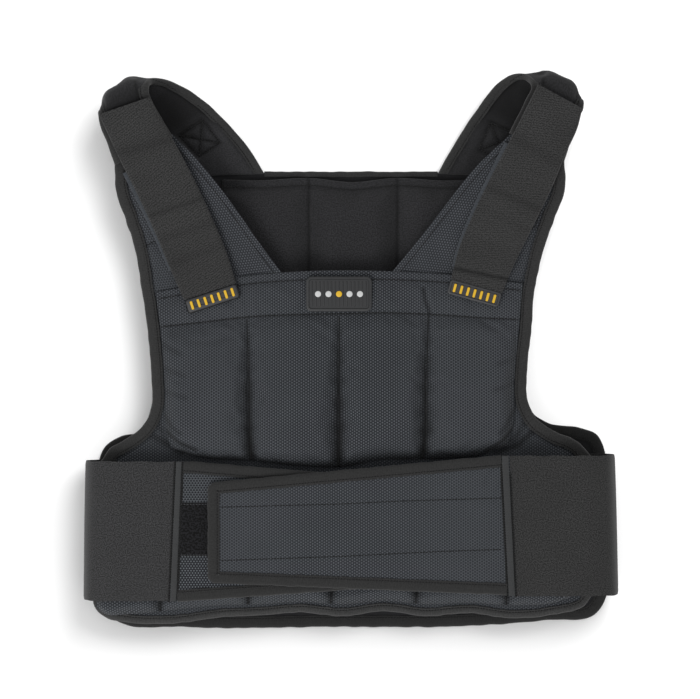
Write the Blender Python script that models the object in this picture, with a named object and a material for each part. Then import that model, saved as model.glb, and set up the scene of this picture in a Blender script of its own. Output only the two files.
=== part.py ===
"""A weighted training vest, lying flat on its back.

A bound back panel with filled pockets on its inner side carries two padded shoulders, which fold over at the top.
The front panel lies over the back: cloth wings, a chest layer with a yoke and filled pockets, and a row of lower
pockets. Straps run from the folded shoulders down over the wings to rubber grip tabs. Elastic wraps round each side
and ends in two stiff flaps, which fasten over the front.

+Z is up, +Y points to the shoulders, and +X to the side that the outer belt flap comes from. Sizes and tables are in
millimetres, and the meshes are in metres.
"""

import math
from collections import namedtuple

import bmesh
import bpy
import numpy as np
from mathutils import Vector

MM = 0.001

# Driving sizes
GAP = 0.3  # between pieces that touch
CLOTH = 3.0  # lined cloth where it is not padded
TAPE = 1.0  # one layer of binding tape
TAPE_WIDTH = 10.5  # how far the folded tape reaches in from an edge
LOWER_TAPE_WIDTH = 7.0  # the same along the lower edge of the front
HEM_MARGIN = 12.0  # flat border that the tape is folded over
BACK_THICK = 4.0  # the back panel with its lining
FRONT_FLOOR = 33.0  # underside of the front panel, above the hollow for the wearer
BACK_FILL = 18.0  # how far a filled pocket stands above the back panel
CHEST_FILL = 19.0  # how far a filled pocket stands above the front panel
LOWER_FILL = 17.5
YOKE_FILL = 5.0
HEM_THICK = 2.4
WING_RISE = 10.0  # the wings climb this far to lie over the shoulder pads
STRAP_THICK = 3.0
TAB_THICK = 4.5
ELASTIC_THICK = 2.2
FLAP_THICK = 2.6
PATCH_THICK = 2.5
PAD_MARGIN = 10.0  # flat border of a shoulder pad
PAD_TAPE = 9.0  # the tape's reach over it
PAD_EDGE_STOP = 0.14  # the share across a pad where its border ends
FASTENER_THICK = 1.2
ELASTIC_FOOT = 6.9  # middle of the elastic where it is sewn inside the back panel
FLAP_UNDER = 56.0  # underside of the lower belt flap

CENTRE_X = 0.6  # middle of the whole vest in the tables below
CENTRE_Y = -4.0

# Heights that follow from them
BACK_TOP = BACK_THICK
BACK_RIM_UNDER = TAPE + 2 * GAP  # the tape under the border stays just clear of the floor
FRONT_TOP = FRONT_FLOOR + CLOTH
LOOP_UNDER = FLAP_UNDER + FLAP_THICK + GAP
HOOK_UNDER = LOOP_UNDER + FASTENER_THICK + GAP
OVER_UNDER = HOOK_UNDER + FASTENER_THICK + GAP

Place = namedtuple("Place", "x y")
PadRow = namedtuple("PadRow", "neck_x neck_y arm_x arm_y height lean thick swell")
StrapRow = namedtuple("StrapRow", "left_x left_y right_x right_y under")
Turn = namedtuple("Turn", "x height")
Station = namedtuple("Station", "place inward up")

# The armhole edge of the back panel, from the shoulder down to the side, a row for each bend
BACK_ARM_LEFT = (
    Place(-185, 176),
    Place(-189, 130),
    Place(-190, 60),
    Place(-191, 0),
    Place(-195, -50),
    Place(-202, -76),
    Place(-215, -86),
    Place(-233, -90),
    Place(-246, -98),
    Place(-254, -114),
)
BACK_ARM_RIGHT = (
    Place(185, 176),
    Place(188, 130),
    Place(184, 60),
    Place(178, 0),
    Place(177, -40),
    Place(186, -67),
    Place(200, -76),
    Place(232, -81),
    Place(250, -88),
    Place(258, -106),
)
# The lower edge of the back panel, from the left side round to the right
BACK_HEM = (
    Place(-256, -150),
    Place(-256, -220),
    Place(-253, -262),
    Place(-235, -276),
    Place(-172, -281),
    Place(-20, -281),
    Place(122, -280),
    Place(203, -274),
    Place(249, -268),
    Place(260, -250),
    Place(260, -200),
    Place(259, -150),
)
NECK_LEFT = Place(-88, 179)
NECK_RIGHT = Place(90, 179)

# The front panel's armhole edges, from the hem of the chest down to the side
FRONT_ARM_LEFT = (
    Place(-206, 49),
    Place(-201, 9),
    Place(-198, -30),
    Place(-199, -62),
    Place(-207, -78),
    Place(-222, -90),
    Place(-240, -101),
    Place(-252, -118),
)
FRONT_ARM_RIGHT = (
    Place(184, 59),
    Place(181, 20),
    Place(177, -20),
    Place(178, -55),
    Place(186, -70),
    Place(202, -82),
    Place(228, -94),
    Place(244, -112),
)
# The front panel's lower edge, with the pull of each seam
FRONT_HEM = (
    Place(-255, -160),
    Place(-255, -235),
    Place(-251, -262),
    Place(-235, -271),
    Place(-175, -274),
    Place(-130, -268),
    Place(-89, -266),
    Place(-50, -263),
    Place(-8, -267),
    Place(35, -262),
    Place(75, -267),
    Place(120, -264),
    Place(163, -269),
    Place(205, -265),
    Place(235, -256),
    Place(246, -235),
    Place(247, -160),
)
# The hem across the top of the chest, over the feet of the wings
CHEST_HEM = (
    Place(-195, 57),
    Place(-150, 66),
    Place(-90, 75),
    Place(-50, 78),
    Place(45, 78),
    Place(97, 75),
    Place(150, 69),
    Place(173.5, 66),
)
CHEST_LEFT = (Place(-180, -99), Place(-184, -82), Place(-186, -30), Place(-189, 10), Place(-195, 57))
CHEST_RIGHT = (Place(158, -97), Place(163, -80), Place(165, -30), Place(169, 15), Place(173.5, 66))
CHEST_FOOT = (
    Place(-180, -99),
    Place(-150, -108),
    Place(-97, -112),
    Place(-50, -117),
    Place(-9, -118),
    Place(30, -111),
    Place(76, -110),
    Place(125, -107),
    Place(158, -97),
)
CHEST_SEAMS = (0.0, 0.243, 0.498, 0.745, 1.0)  # shares across the chest
YOKE_SEAM = 0.775  # share up the chest
HEM_STITCH = 0.957
PATCH_LEFT = -44.0
PATCH_RIGHT = 22.0
PATCH_FOOT = 37.5
PATCH_HEAD = 72.5
PATCH_CORNER = 6.0

LOWER_LEFT = (Place(-241, -252), Place(-242, -190), Place(-240, -128))
LOWER_RIGHT = (Place(228, -246), Place(234, -190), Place(232, -126))
LOWER_FOOT = (
    Place(-241, -252),
    Place(-215, -261),
    Place(-130, -257),
    Place(-89, -256),
    Place(-50, -253.5),
    Place(-8, -256),
    Place(35, -252.5),
    Place(75, -256),
    Place(120, -254.5),
    Place(163, -257),
    Place(205, -254),
    Place(228, -246),
)
LOWER_HEAD = (Place(-240, -128), Place(-120, -122), Place(0, -122), Place(120, -122), Place(232, -126))
LOWER_SEAMS = (0.0, 0.14, 0.32, 0.49, 0.665, 0.85, 1.0)

BACK_UPPER_LEFT = (Place(-130, -104), Place(-130, 172))
BACK_UPPER_RIGHT = (Place(132, -104), Place(132, 172))
BACK_UPPER_FOOT = (Place(-130, -104), Place(132, -104))
BACK_UPPER_HEAD = (Place(-130, 172), Place(132, 172))
BACK_UPPER_SEAMS = (0.0, 0.336, 0.679, 1.0)
BACK_LOWER_LEFT = (Place(-214, -264), Place(-214, -108))
BACK_LOWER_RIGHT = (Place(216, -260), Place(216, -108))
BACK_LOWER_FOOT = (Place(-214, -264), Place(0, -267), Place(216, -260))
BACK_LOWER_HEAD = (Place(-214, -108), Place(216, -108))
BACK_LOWER_SEAMS = (0.0, 0.17, 0.34, 0.5, 0.67, 0.84, 1.0)

# A wing's four edges: its outer one at the armhole, its inner one at the neck, its foot and its head
WING_LEFT_ARM = (Place(-207, 54), Place(-214, 98), Place(-224, 131), Place(-233, 158), Place(-234, 182))
WING_LEFT_NECK = (Place(-66, 73), Place(-90, 106), Place(-118, 148), Place(-150, 189), Place(-178, 215))
WING_RIGHT_ARM = (Place(185, 64), Place(193, 100), Place(204, 132), Place(214, 160), Place(213, 186))
WING_RIGHT_NECK = (Place(40, 75), Place(60, 99), Place(90, 139), Place(125, 184), Place(163, 217))
WING_STRAIGHT = 80.0  # the wings lie level up to here
WING_TOP = 205.0

# A shoulder pad from its root on the back panel, over the fold, to its end on the wing
PAD_LEFT = (
    PadRow(-88.0, 179.3, -185.0, 176.3, 4.3, 0, 6.0, 0),
    PadRow(-104, 203, -198, 185, 8.5, 0, 10.0, 0),
    PadRow(-124, 227, -211, 195, 13.0, 0, 13.0, 0),
    PadRow(-146, 248, -224, 205, 18.0, 3, 13.0, 0),
    PadRow(-166, 262, -234, 215, 23.0, 14, 13.0, 1),
    PadRow(-185, 270, -245, 226, 29.5, 48, 12.5, 5),
    PadRow(-199, 269, -250.5, 234, 40.0, 92, 12.0, 9),
    PadRow(-202, 263, -250.5, 234.5, 49.5, 140, 12.0, 8),
    PadRow(-202, 256, -250, 230.5, 52.5, 184, 12.0, 5),
    PadRow(-199, 247, -247.5, 221, 50.5, 192, 10.5, 1),
    PadRow(-190, 231, -241, 205.5, 49.7, 182, 7.5, 0),
    PadRow(-178, 211, -232, 188, 49.4, 180, 4.6, 0),
)
PAD_RIGHT = (
    PadRow(90.0, 179.3, 185.0, 176.3, 4.3, 0, 6.0, 0),
    PadRow(105, 204, 197, 186, 8.5, 0, 10.0, 0),
    PadRow(120, 228, 207, 197, 13.0, 0, 13.0, 0),
    PadRow(134, 248, 216, 209, 18.0, 3, 13.0, 0),
    PadRow(147, 264, 223, 220, 23.0, 14, 13.0, 1),
    PadRow(162, 274, 229.5, 234, 29.5, 48, 12.5, 5),
    PadRow(177, 272, 232, 246, 40.0, 92, 12.0, 9),
    PadRow(181.5, 265, 232.5, 245, 49.5, 140, 12.0, 8),
    PadRow(182, 260, 231.5, 240, 52.5, 184, 12.0, 4),
    PadRow(178, 251, 226.5, 231, 50.5, 192, 10.5, 1),
    PadRow(169, 233, 221, 213, 49.7, 182, 7.5, 0),
    PadRow(160, 215, 211, 192, 49.4, 180, 4.6, 0),
)

# A strap's two edges and its underside, from the folded shoulder down to the tab
STRAP_LEFT = (
    StrapRow(-250, 233, -200, 250, 59.3),
    StrapRow(-241, 214, -189, 230, 56.2),
    StrapRow(-232, 194, -179, 213, 53.4),
    StrapRow(-212, 154, -158, 174, 49.4),
    StrapRow(-193, 112, -137, 129, 44.2),
    StrapRow(-179, 78, -123, 95, 41.7),
    StrapRow(-166, 49, -114, 66, 42.2),
)
STRAP_RIGHT = (
    StrapRow(187, 263, 231, 239, 59.5),
    StrapRow(177, 243, 226, 219, 56.2),
    StrapRow(167, 223, 217, 199, 53.4),
    StrapRow(147, 184, 201, 160, 50.4),
    StrapRow(126, 141, 181, 119, 46.0),
    StrapRow(109, 100, 164, 84, 41.8),
    StrapRow(101, 70, 152, 56, 42.2),
)
TAB_LENGTH = 15.0
BACKING_THICK = 3.0
BACKING_SHIFT = 6.0  # the raised band shows on the left of each strap
BACKING_START = 0.31  # shares along the strap
BACKING_END = 0.84

# The elastic round each side, from its seam inside the back panel to its joint with the flap
ELASTIC_LEFT = (
    Turn(-221, ELASTIC_FOOT),
    Turn(-246, ELASTIC_FOOT),
    Turn(-259, 12.0),
    Turn(-265, 24.0),
    Turn(-265, 40.0),
    Turn(-258, 52.5),
    Turn(-244, 57.6),
    Turn(-210, 58.6),
    Turn(-177, 57.3),
)
ELASTIC_RIGHT = (
    Turn(224, ELASTIC_FOOT),
    Turn(249, ELASTIC_FOOT),
    Turn(261, 12.0),
    Turn(266, 24.0),
    Turn(266, 42.0),
    Turn(259, 56.5),
    Turn(245, 61.8),
    Turn(205, 64.0),
    Turn(161.5, 63.2),
)
ELASTIC_LEFT_HEAD = -112.0
ELASTIC_LEFT_FOOT = -251.0
ELASTIC_RIGHT_HEAD = -106.0
ELASTIC_RIGHT_FOOT = -245.5
JOINT_SLANT = 3.0  # the joint of elastic and flap leans this far out of upright, each way
STRIP_THICK = 1.4
STRIP_LEFT = (Place(-173.5, -112), Place(-166.5, -112), Place(-172.0, -251), Place(-180.0, -251))
STRIP_RIGHT = (Place(150.0, -106), Place(158.0, -106), Place(164.8, -245), Place(157.0, -245))

# The belt flaps: corners of each, the wide end at its elastic
UNDER_FLAP = (Place(-173.6, -112), Place(132, -137), Place(132, -229), Place(-179.6, -251))
OVER_FLAP = (Place(158.0, -106), Place(-140, -134), Place(-140, -231), Place(163.8, -243.5))
FLAP_CORNER = 4.0
BINDING_START = 10.0  # the tape on a flap starts this far from the joint
LOOP_FOOT = -206.0
LOOP_HEAD = -153.0
FASTENER_LEFT = -166.0
FASTENER_RIGHT = 60.0
BOTTOM_TAPE_ENDS = -240.0  # the tape along the lower edge runs up both sides to here
HOOK_LEFT = -120.0
HOOK_RIGHT = 20.0

# Colours as seen under soft light, with roughness
Look = namedtuple("Look", "red green blue roughness")
TEXTURED = Look(61, 63, 67, 0.85)
SMOOTH = Look(57, 57, 58, 0.8)
LINING = Look(46, 46, 49, 0.9)
BINDING = Look(50, 50, 51, 0.8)
STRETCH = Look(58, 58, 59, 0.85)
FLEECE = Look(32, 32, 34, 1.0)
RUBBER = Look(40, 40, 42, 0.5)
GREY_RUBBER = Look(64, 64, 65, 0.55)


def linear(channel):
    """An sRGB channel from 0 to 255 as linear light."""
    share = channel / 255
    return share / 12.92 if share <= 0.04045 else ((share + 0.055) / 1.055) ** 2.4


def own_material(name, look):
    material = bpy.data.materials.new(name)
    material.use_nodes = True
    shader = material.node_tree.nodes["Principled BSDF"]
    colour = (linear(look.red), linear(look.green), linear(look.blue), 1.0)
    shader.inputs["Base Color"].default_value = colour
    shader.inputs["Roughness"].default_value = look.roughness
    shader.inputs["Metallic"].default_value = 0.0
    material.diffuse_color = colour
    return material


def finished(name, form, look, carrier):
    """Turns a modelled form into a named object with its own material, hung on the vest's empty."""
    bmesh.ops.recalc_face_normals(form, faces=form.faces[:])
    if form.calc_volume(signed=True) < 0:
        bmesh.ops.reverse_faces(form, faces=form.faces[:])
    mesh = bpy.data.meshes.new(name)
    form.to_mesh(mesh)
    form.free()
    mesh.shade_smooth()
    mesh.set_sharp_from_angle(angle=math.radians(40))
    mesh.materials.append(own_material(name, look))
    piece = bpy.data.objects.new(name, mesh)
    bpy.context.scene.collection.objects.link(piece)
    piece.parent = carrier
    return piece


def smooth_line(points, measured=2):
    """A function of the share along a smooth curve through the points, by their spacing in the measured columns."""
    points = np.array(points, float)
    steps = np.linalg.norm(np.diff(points[:, :measured], axis=0), axis=1) + 1.0
    stops = np.concatenate([[0.0], np.cumsum(steps)]) / steps.sum()
    slopes = np.gradient(points, stops, axis=0)

    def at(share):
        left = min(max(int(np.searchsorted(stops, share, side="right")) - 1, 0), len(stops) - 2)
        span = stops[left + 1] - stops[left]
        t = (share - stops[left]) / span
        start, end = points[left], points[left + 1]
        return (
            (2 * t**3 - 3 * t**2 + 1) * start
            + (t**3 - 2 * t**2 + t) * span * slopes[left]
            + (3 * t**2 - 2 * t**3) * end
            + (t**3 - t**2) * span * slopes[left + 1]
        )

    return at


def samples(points, count):
    """Points spaced evenly by share along a smooth curve, its ends included."""
    line = smooth_line(points)
    return [line(share) for share in np.linspace(0, 1, count)]


def patch(left, right, foot, head):
    """A function of the shares across and up that fills the space between four curves."""
    left, right, foot, head = (smooth_line(edge) for edge in (left, right, foot, head))

    def place(u, v):
        across = (1 - u) * left(v) + u * right(v)
        up = (1 - v) * foot(u) + v * head(u)
        corners = (1 - v) * ((1 - u) * foot(0) + u * foot(1)) + v * ((1 - u) * head(0) + u * head(1))
        return across + up - corners

    return place


def ease(share):
    """Rises smoothly from 0 to 1."""
    share = min(max(share, 0.0), 1.0)
    return share * share * (3 - 2 * share)


def swell(share, power=0.5):
    """The crown of a filled pocket: 0 at its seams and 1 in the middle."""
    return max(4 * share * (1 - share), 0.0) ** power


def within(seams, u):
    """The share of u between the two seams that it lies between."""
    for low, high in zip(seams, seams[1:]):
        if u <= high:
            return (u - low) / (high - low)
    return 1.0


def stops_between(seams, inner):
    """All seams, and between each two of them the inner shares."""
    stops = [seams[0]]
    for low, high in zip(seams, seams[1:]):
        stops += [low + (high - low) * share for share in inner]
        stops.append(high)
    return stops


def cloth(name, look, carrier, across, along, face, back, flat_back=False):
    """A closed solid between two surfaces. face and back give a point from the shares across and along."""
    form = bmesh.new()
    columns, rows = len(across) - 1, len(along) - 1
    bmesh.ops.create_grid(form, x_segments=columns, y_segments=rows, size=0.5)
    lower = set(form.verts)
    bmesh.ops.extrude_face_region(form, geom=form.faces[:])
    for corner in form.verts:
        u = across[round((corner.co.x + 0.5) * columns)]
        v = along[round((corner.co.y + 0.5) * rows)]
        surface = back if corner in lower else face
        corner.co = Vector(surface(u, v)) * MM
    if flat_back:
        under = [side for side in form.faces if all(corner in lower for corner in side.verts)]
        edges = list({edge for side in under for edge in side.edges})
        bmesh.ops.dissolve_limit(form, angle_limit=math.radians(0.1), verts=[], edges=edges)
    return finished(name, form, look, carrier)


def plate(name, look, carrier, outline, under, top, rebate=0.0):
    """A flat plate. With a rebate, its border's underside is raised, so that folded tape lies flush."""
    form = bmesh.new()
    base = form.faces.new([form.verts.new(Vector((x, y, under + rebate)) * MM) for x, y in outline])
    raised = bmesh.ops.extrude_face_region(form, geom=[base])
    for item in raised["geom"]:
        if isinstance(item, bmesh.types.BMVert):
            item.co.z = top * MM
    if rebate:
        slope = 1.5
        bmesh.ops.inset_region(form, faces=[base], thickness=HEM_MARGIN * MM, use_even_offset=True)
        bmesh.ops.inset_region(form, faces=[base], thickness=slope * MM, use_even_offset=True)
        for corner in base.verts:
            corner.co.z = under * MM
    return finished(name, form, look, carrier)


def sweep(name, look, carrier, section, stations):
    """Extrudes a closed section of (inward, up) points along the stations."""

    def placed(station):
        return [(station.place + station.inward * a + station.up * b) * MM for a, b in section]

    form = bmesh.new()
    first = form.faces.new([form.verts.new(point) for point in placed(stations[0])])
    cap = first
    for station in stations[1:]:
        raised = bmesh.ops.extrude_face_region(form, geom=[cap])
        if cap is not first:
            bmesh.ops.delete(form, geom=[cap], context="FACES_ONLY")
        cap = next(item for item in raised["geom"] if isinstance(item, bmesh.types.BMFace))
        for corner, point in zip(cap.verts, placed(station)):
            corner.co = point
    return finished(name, form, look, carrier)


def binding(name, look, carrier, edge, inside, thick=CLOTH, width=TAPE_WIDTH, ups=None):
    """Tape folded over an edge. edge and inside are matching points on the edge and a little further in."""
    half = thick / 2 + GAP
    section = (
        (width, half),
        (-GAP, half),
        (-GAP, -half),
        (width, -half),
        (width, -half - TAPE),
        (-GAP, -half - TAPE),
        (-GAP - TAPE, 0.0),
        (-GAP, half + TAPE),
        (width, half + TAPE),
    )
    edge = [Vector(point) for point in edge]
    stations = []
    for number, place in enumerate(edge):
        before = edge[max(number - 1, 0)]
        after = edge[min(number + 1, len(edge) - 1)]
        course = (after - before).normalized()
        inward = Vector(inside[number]) - place
        if ups:
            up = ups[number]
            inward = (inward - up * inward.dot(up)).normalized()
        else:
            inward = (inward - course * inward.dot(course)).normalized()
            up = course.cross(inward)
        stations.append(Station(place, inward, up))
    return sweep(name, look, carrier, section, stations)


def towards(points, centre, share=0.02):
    """The points moved a little towards a centre."""
    return [Vector(point).lerp(Vector(centre), share) for point in points]


def at_height(points, height):
    return [(x, y, height) for x, y in points]


def joined(*runs):
    """Runs of points as one list, with a point that two runs share kept once."""
    whole = []
    for run in runs:
        for point in run:
            if not whole or np.linalg.norm(np.array(point) - np.array(whole[-1])) > 1.0:
                whole.append(point)
    return whole


def wing_level(y):
    """The height of a wing's face: level by the chest, then climbing over the shoulder pad."""
    return FRONT_TOP + WING_RISE * ease((y - WING_STRAIGHT) / (WING_TOP - WING_STRAIGHT))


def filled(name, look, carrier, edges, seams, height, base, along, inner):
    """A layer of filled pockets on a flat base. height gives its thickness from the shares across and up."""
    place = patch(*edges)

    def face(u, v):
        x, y = place(u, v)
        return x, y, base + height(u, v)

    def back(u, v):
        x, y = place(u, v)
        return x, y, base

    return cloth(name, look, carrier, stops_between(seams, inner), along, face, back, flat_back=True)


def pocket_height(seams, fill, low=HEM_THICK, foot=0.0, head=1.0):
    """The thickness of a row of pockets, crowned both ways between its seams."""

    def height(u, v):
        up = (v - foot) / (head - foot)
        if up <= 0 or up >= 1:
            return low
        return low + (fill - low) * swell(within(seams, u)) * swell(up, 0.35)

    return height


def chest_height(u, v):
    """Pockets below the yoke seam, the soft yoke above it, and the flat hem on top."""
    if v >= HEM_STITCH:
        return HEM_THICK
    if v >= YOKE_SEAM:
        across = swell(u, 0.25)
        return HEM_THICK + (YOKE_FILL - HEM_THICK) * across * swell((v - YOKE_SEAM) / (HEM_STITCH - YOKE_SEAM))
    return pocket_height(CHEST_SEAMS, CHEST_FILL, foot=0.0, head=YOKE_SEAM)(u, v)


def make_back(carrier):
    arm_left = samples(BACK_ARM_LEFT, 17)
    arm_right = samples(BACK_ARM_RIGHT, 17)
    hem = samples(BACK_HEM, 31)
    neck = [NECK_RIGHT, NECK_LEFT]
    outline = joined(arm_left, hem, arm_right[::-1], neck)
    plate("back_panel", TEXTURED, carrier, outline, 0.0, BACK_TOP, rebate=BACK_RIM_UNDER)
    inner = (0.08, 0.25, 0.5, 0.75, 0.92)
    filled(
        "back_pockets_upper",
        LINING,
        carrier,
        (BACK_UPPER_LEFT, BACK_UPPER_RIGHT, BACK_UPPER_FOOT, BACK_UPPER_HEAD),
        BACK_UPPER_SEAMS,
        pocket_height(BACK_UPPER_SEAMS, BACK_FILL, head=0.972),
        BACK_TOP + GAP,
        (0.0, 0.02, 0.08, 0.25, 0.5, 0.75, 0.88, 0.95, 0.972, 1.0),
        inner,
    )
    filled(
        "back_pockets_lower",
        LINING,
        carrier,
        (BACK_LOWER_LEFT, BACK_LOWER_RIGHT, BACK_LOWER_FOOT, BACK_LOWER_HEAD),
        BACK_LOWER_SEAMS,
        pocket_height(BACK_LOWER_SEAMS, BACK_FILL),
        BACK_TOP + GAP,
        (0.0, 0.06, 0.25, 0.5, 0.75, 0.94, 1.0),
        (0.12, 0.5, 0.88),
    )
    rim = (BACK_RIM_UNDER + BACK_TOP) / 2
    rim_thick = BACK_TOP - BACK_RIM_UNDER
    side = joined(arm_left, hem, arm_right[::-1])
    side = at_height(side, rim)
    centre = (0.0, -100.0, rim)
    binding("back_binding", BINDING, carrier, side, towards(side, centre), thick=rim_thick)
    neck_edge = [(x, 179.0, rim) for x in np.linspace(NECK_LEFT.x + 1.0, NECK_RIGHT.x - 1.0, 4)]
    binding("neck_binding", BINDING, carrier, neck_edge, towards(neck_edge, centre), thick=rim_thick, width=4.5)


def pad_surfaces(rows, side):
    """The inner and the outer face of a shoulder pad, and its middle. side is -1 on the left and 1 on the right."""
    line = smooth_line(rows, measured=5)

    def middle(u, v):
        row = PadRow(*line(v))
        neck = Vector((row.neck_x, row.neck_y, row.height))
        arm = Vector((row.arm_x, row.arm_y, row.height))
        across = (arm - neck).normalized()
        outward = Vector((-across.y, across.x, 0.0)) * side
        lean = math.radians(row.lean)
        normal = Vector((0, 0, math.cos(lean))) - outward * math.sin(lean)
        half_width = (arm - neck).length / 2
        nearer = min(u, 1 - u)
        if nearer <= PAD_EDGE_STOP:
            inset = PAD_MARGIN * nearer / PAD_EDGE_STOP
        else:
            inset = PAD_MARGIN + (half_width - PAD_MARGIN) * (nearer - PAD_EDGE_STOP) / (0.5 - PAD_EDGE_STOP)
        crown = max(inset - PAD_MARGIN, 0.0) / (half_width - PAD_MARGIN)
        share = inset / (2 * half_width)
        place = neck.lerp(arm, share if u <= 0.5 else 1 - share) + outward * (row.swell * ease(crown))
        thick = CLOTH + (row.thick - CLOTH) * ease(crown * 1.8)
        return place, normal * (thick / 2)

    def inner(u, v):
        place, offset = middle(u, v)
        return place + offset

    def outer(u, v):
        place, offset = middle(u, v)
        return place - offset

    return middle, inner, outer


def make_pad(carrier, word, rows, side):
    middle, inner, outer = pad_surfaces(rows, side)
    across = (0.0, PAD_EDGE_STOP, 0.22, 0.33, 0.5, 0.67, 0.78, 1 - PAD_EDGE_STOP, 1.0)
    along = np.linspace(0, 1, 23)
    cloth(f"shoulder_pad_{word}", LINING, carrier, across, along, inner, outer)
    run = along[1:]
    for edge_name, u, step in (("neck", 0.0, 0.05), ("arm", 1.0, -0.05)):
        edge = [middle(u, v)[0] for v in run]
        inside = [middle(u + step, v)[0] for v in run]
        ups = [middle(u, v)[1].normalized() for v in run]
        name = f"pad_binding_{word}_{edge_name}"
        binding(name, BINDING, carrier, edge, inside, thick=CLOTH + 2 * GAP, width=PAD_TAPE, ups=ups)


def make_front(carrier):
    arm_left = samples(FRONT_ARM_LEFT, 15)
    arm_right = samples(FRONT_ARM_RIGHT, 15)
    hem = samples(FRONT_HEM, 37)
    wing_feet = [Place(x, y - 6.0) for x, y in samples(CHEST_HEM[1:-1], 9)]
    outline = joined(arm_left, hem, arm_right[::-1], wing_feet[::-1])
    plate("front_panel", TEXTURED, carrier, outline, FRONT_FLOOR, FRONT_TOP)
    inner = (0.07, 0.22, 0.5, 0.78, 0.93)
    filled(
        "chest_pockets",
        TEXTURED,
        carrier,
        (CHEST_LEFT, CHEST_RIGHT, CHEST_FOOT, CHEST_HEM),
        CHEST_SEAMS,
        chest_height,
        FRONT_TOP + GAP,
        (0.0, 0.015, 0.06, 0.16, 0.32, 0.48, 0.62, 0.71, 0.76, YOKE_SEAM, 0.80, 0.85, 0.91, 0.945, HEM_STITCH, 1.0),
        inner,
    )
    filled(
        "lower_pockets",
        TEXTURED,
        carrier,
        (LOWER_LEFT, LOWER_RIGHT, LOWER_FOOT, LOWER_HEAD),
        LOWER_SEAMS,
        pocket_height(LOWER_SEAMS, LOWER_FILL),
        FRONT_TOP + GAP,
        (0.0, 0.03, 0.1, 0.25, 0.5, 0.75, 0.9, 0.97, 1.0),
        inner,
    )
    return arm_left, arm_right, hem


def make_front_bindings(carrier, arms, wings, hem):
    middle = FRONT_FLOOR + CLOTH / 2
    for word, arm, wing in (("left", arms[0], wings[0]), ("right", arms[1], wings[1])):
        wing_edge, wing_inside = wing
        arm = at_height(arm, middle)
        edge = wing_edge[::-1] + arm
        inside = wing_inside[::-1] + towards(arm, (0.0, 0.0, middle))
        binding(f"front_binding_{word}", BINDING, carrier, edge, inside)
    lower = [(x, y, middle) for x, y in hem if y < BOTTOM_TAPE_ENDS]
    inside = towards(lower, (0.0, 0.0, middle))
    binding("front_binding_bottom", BINDING, carrier, lower, inside, width=LOWER_TAPE_WIDTH)


def make_wing(carrier, word, arm, neck, mirrored):
    """A cloth wing, its share 0 across at the left edge as seen. Returns its outer edge and points inside it."""
    left, right = (neck, arm) if mirrored else (arm, neck)
    place = patch(left, right, (left[0], right[0]), (left[-1], right[-1]))
    along = np.linspace(0, 1, 9)

    def face(u, v):
        x, y = place(u, v)
        return x, y, wing_level(y)

    def back(u, v):
        x, y = place(u, v)
        return x, y, wing_level(y) - CLOTH

    cloth(f"front_wing_{word}", TEXTURED, carrier, np.linspace(0, 1, 7), along, face, back)
    outer, inside = (1.0, 0.9) if mirrored else (0.0, 0.1)
    return [[Vector(face(u, v)) - Vector((0, 0, CLOTH / 2)) for v in along] for u in (outer, inside)]


def make_strap(carrier, word, rows):
    line = smooth_line(rows)

    def strip(shift_left, shift_right, base, thick):
        """Faces of a strip that follows the strap, with its own edges, underside and thickness."""

        def under(u, v):
            row = StrapRow(*line(v))
            left = Vector((row.left_x, row.left_y, 0.0))
            right = Vector((row.right_x, row.right_y, 0.0))
            across = (right - left).normalized()
            place = (left + across * shift_left).lerp(right + across * shift_right, u)
            return Vector((place.x, place.y, base(place, row)))

        def over(u, v):
            return under(u, v) + Vector((0, 0, thick))

        return over, under

    over, under = strip(0.0, 0.0, lambda place, row: row.under, STRAP_THICK)
    cloth(f"strap_{word}", SMOOTH, carrier, (0.0, 0.33, 0.67, 1.0), np.linspace(0, 1, 19), over, under)
    over, under = strip(
        -BACKING_SHIFT,
        -BACKING_SHIFT / 2,
        lambda place, row: wing_level(place.y) + TAPE + 2 * GAP,
        BACKING_THICK,
    )
    stretch = np.linspace(BACKING_START, BACKING_END, 10)
    cloth(f"strap_backing_{word}", TEXTURED, carrier, (0.0, 0.5, 1.0), stretch, over, under)
    end = StrapRow(*rows[-1])
    left = Vector((end.left_x, end.left_y, 0))
    right = Vector((end.right_x, end.right_y, 0))
    across = (right - left).normalized()
    down = Vector((across.y, -across.x, 0))
    start = down * GAP
    reach = down * TAB_LENGTH
    chamfer = 2.0
    corners = (
        left + start,
        left + reach - down * chamfer,
        left + reach + across * chamfer,
        right + reach - across * chamfer,
        right + reach - down * chamfer,
        right + start,
    )
    outline = [(corner.x, corner.y) for corner in corners]
    plate(f"pull_tab_{word}", GREY_RUBBER, carrier, outline, end.under, end.under + TAB_THICK)


def make_patch(carrier):
    base = FRONT_TOP + GAP + YOKE_FILL + GAP
    corners = (
        (PATCH_RIGHT - PATCH_CORNER, PATCH_HEAD - PATCH_CORNER, 0),
        (PATCH_LEFT + PATCH_CORNER, PATCH_HEAD - PATCH_CORNER, 90),
        (PATCH_LEFT + PATCH_CORNER, PATCH_FOOT + PATCH_CORNER, 180),
        (PATCH_RIGHT - PATCH_CORNER, PATCH_FOOT + PATCH_CORNER, 270),
    )
    outline = []
    for x, y, start in corners:
        for turn in (0, 30, 60, 90):
            angle = math.radians(start + turn)
            outline.append((x + PATCH_CORNER * math.cos(angle), y + PATCH_CORNER * math.sin(angle)))
    plate("chest_patch", RUBBER, carrier, outline, base, base + PATCH_THICK)


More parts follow.
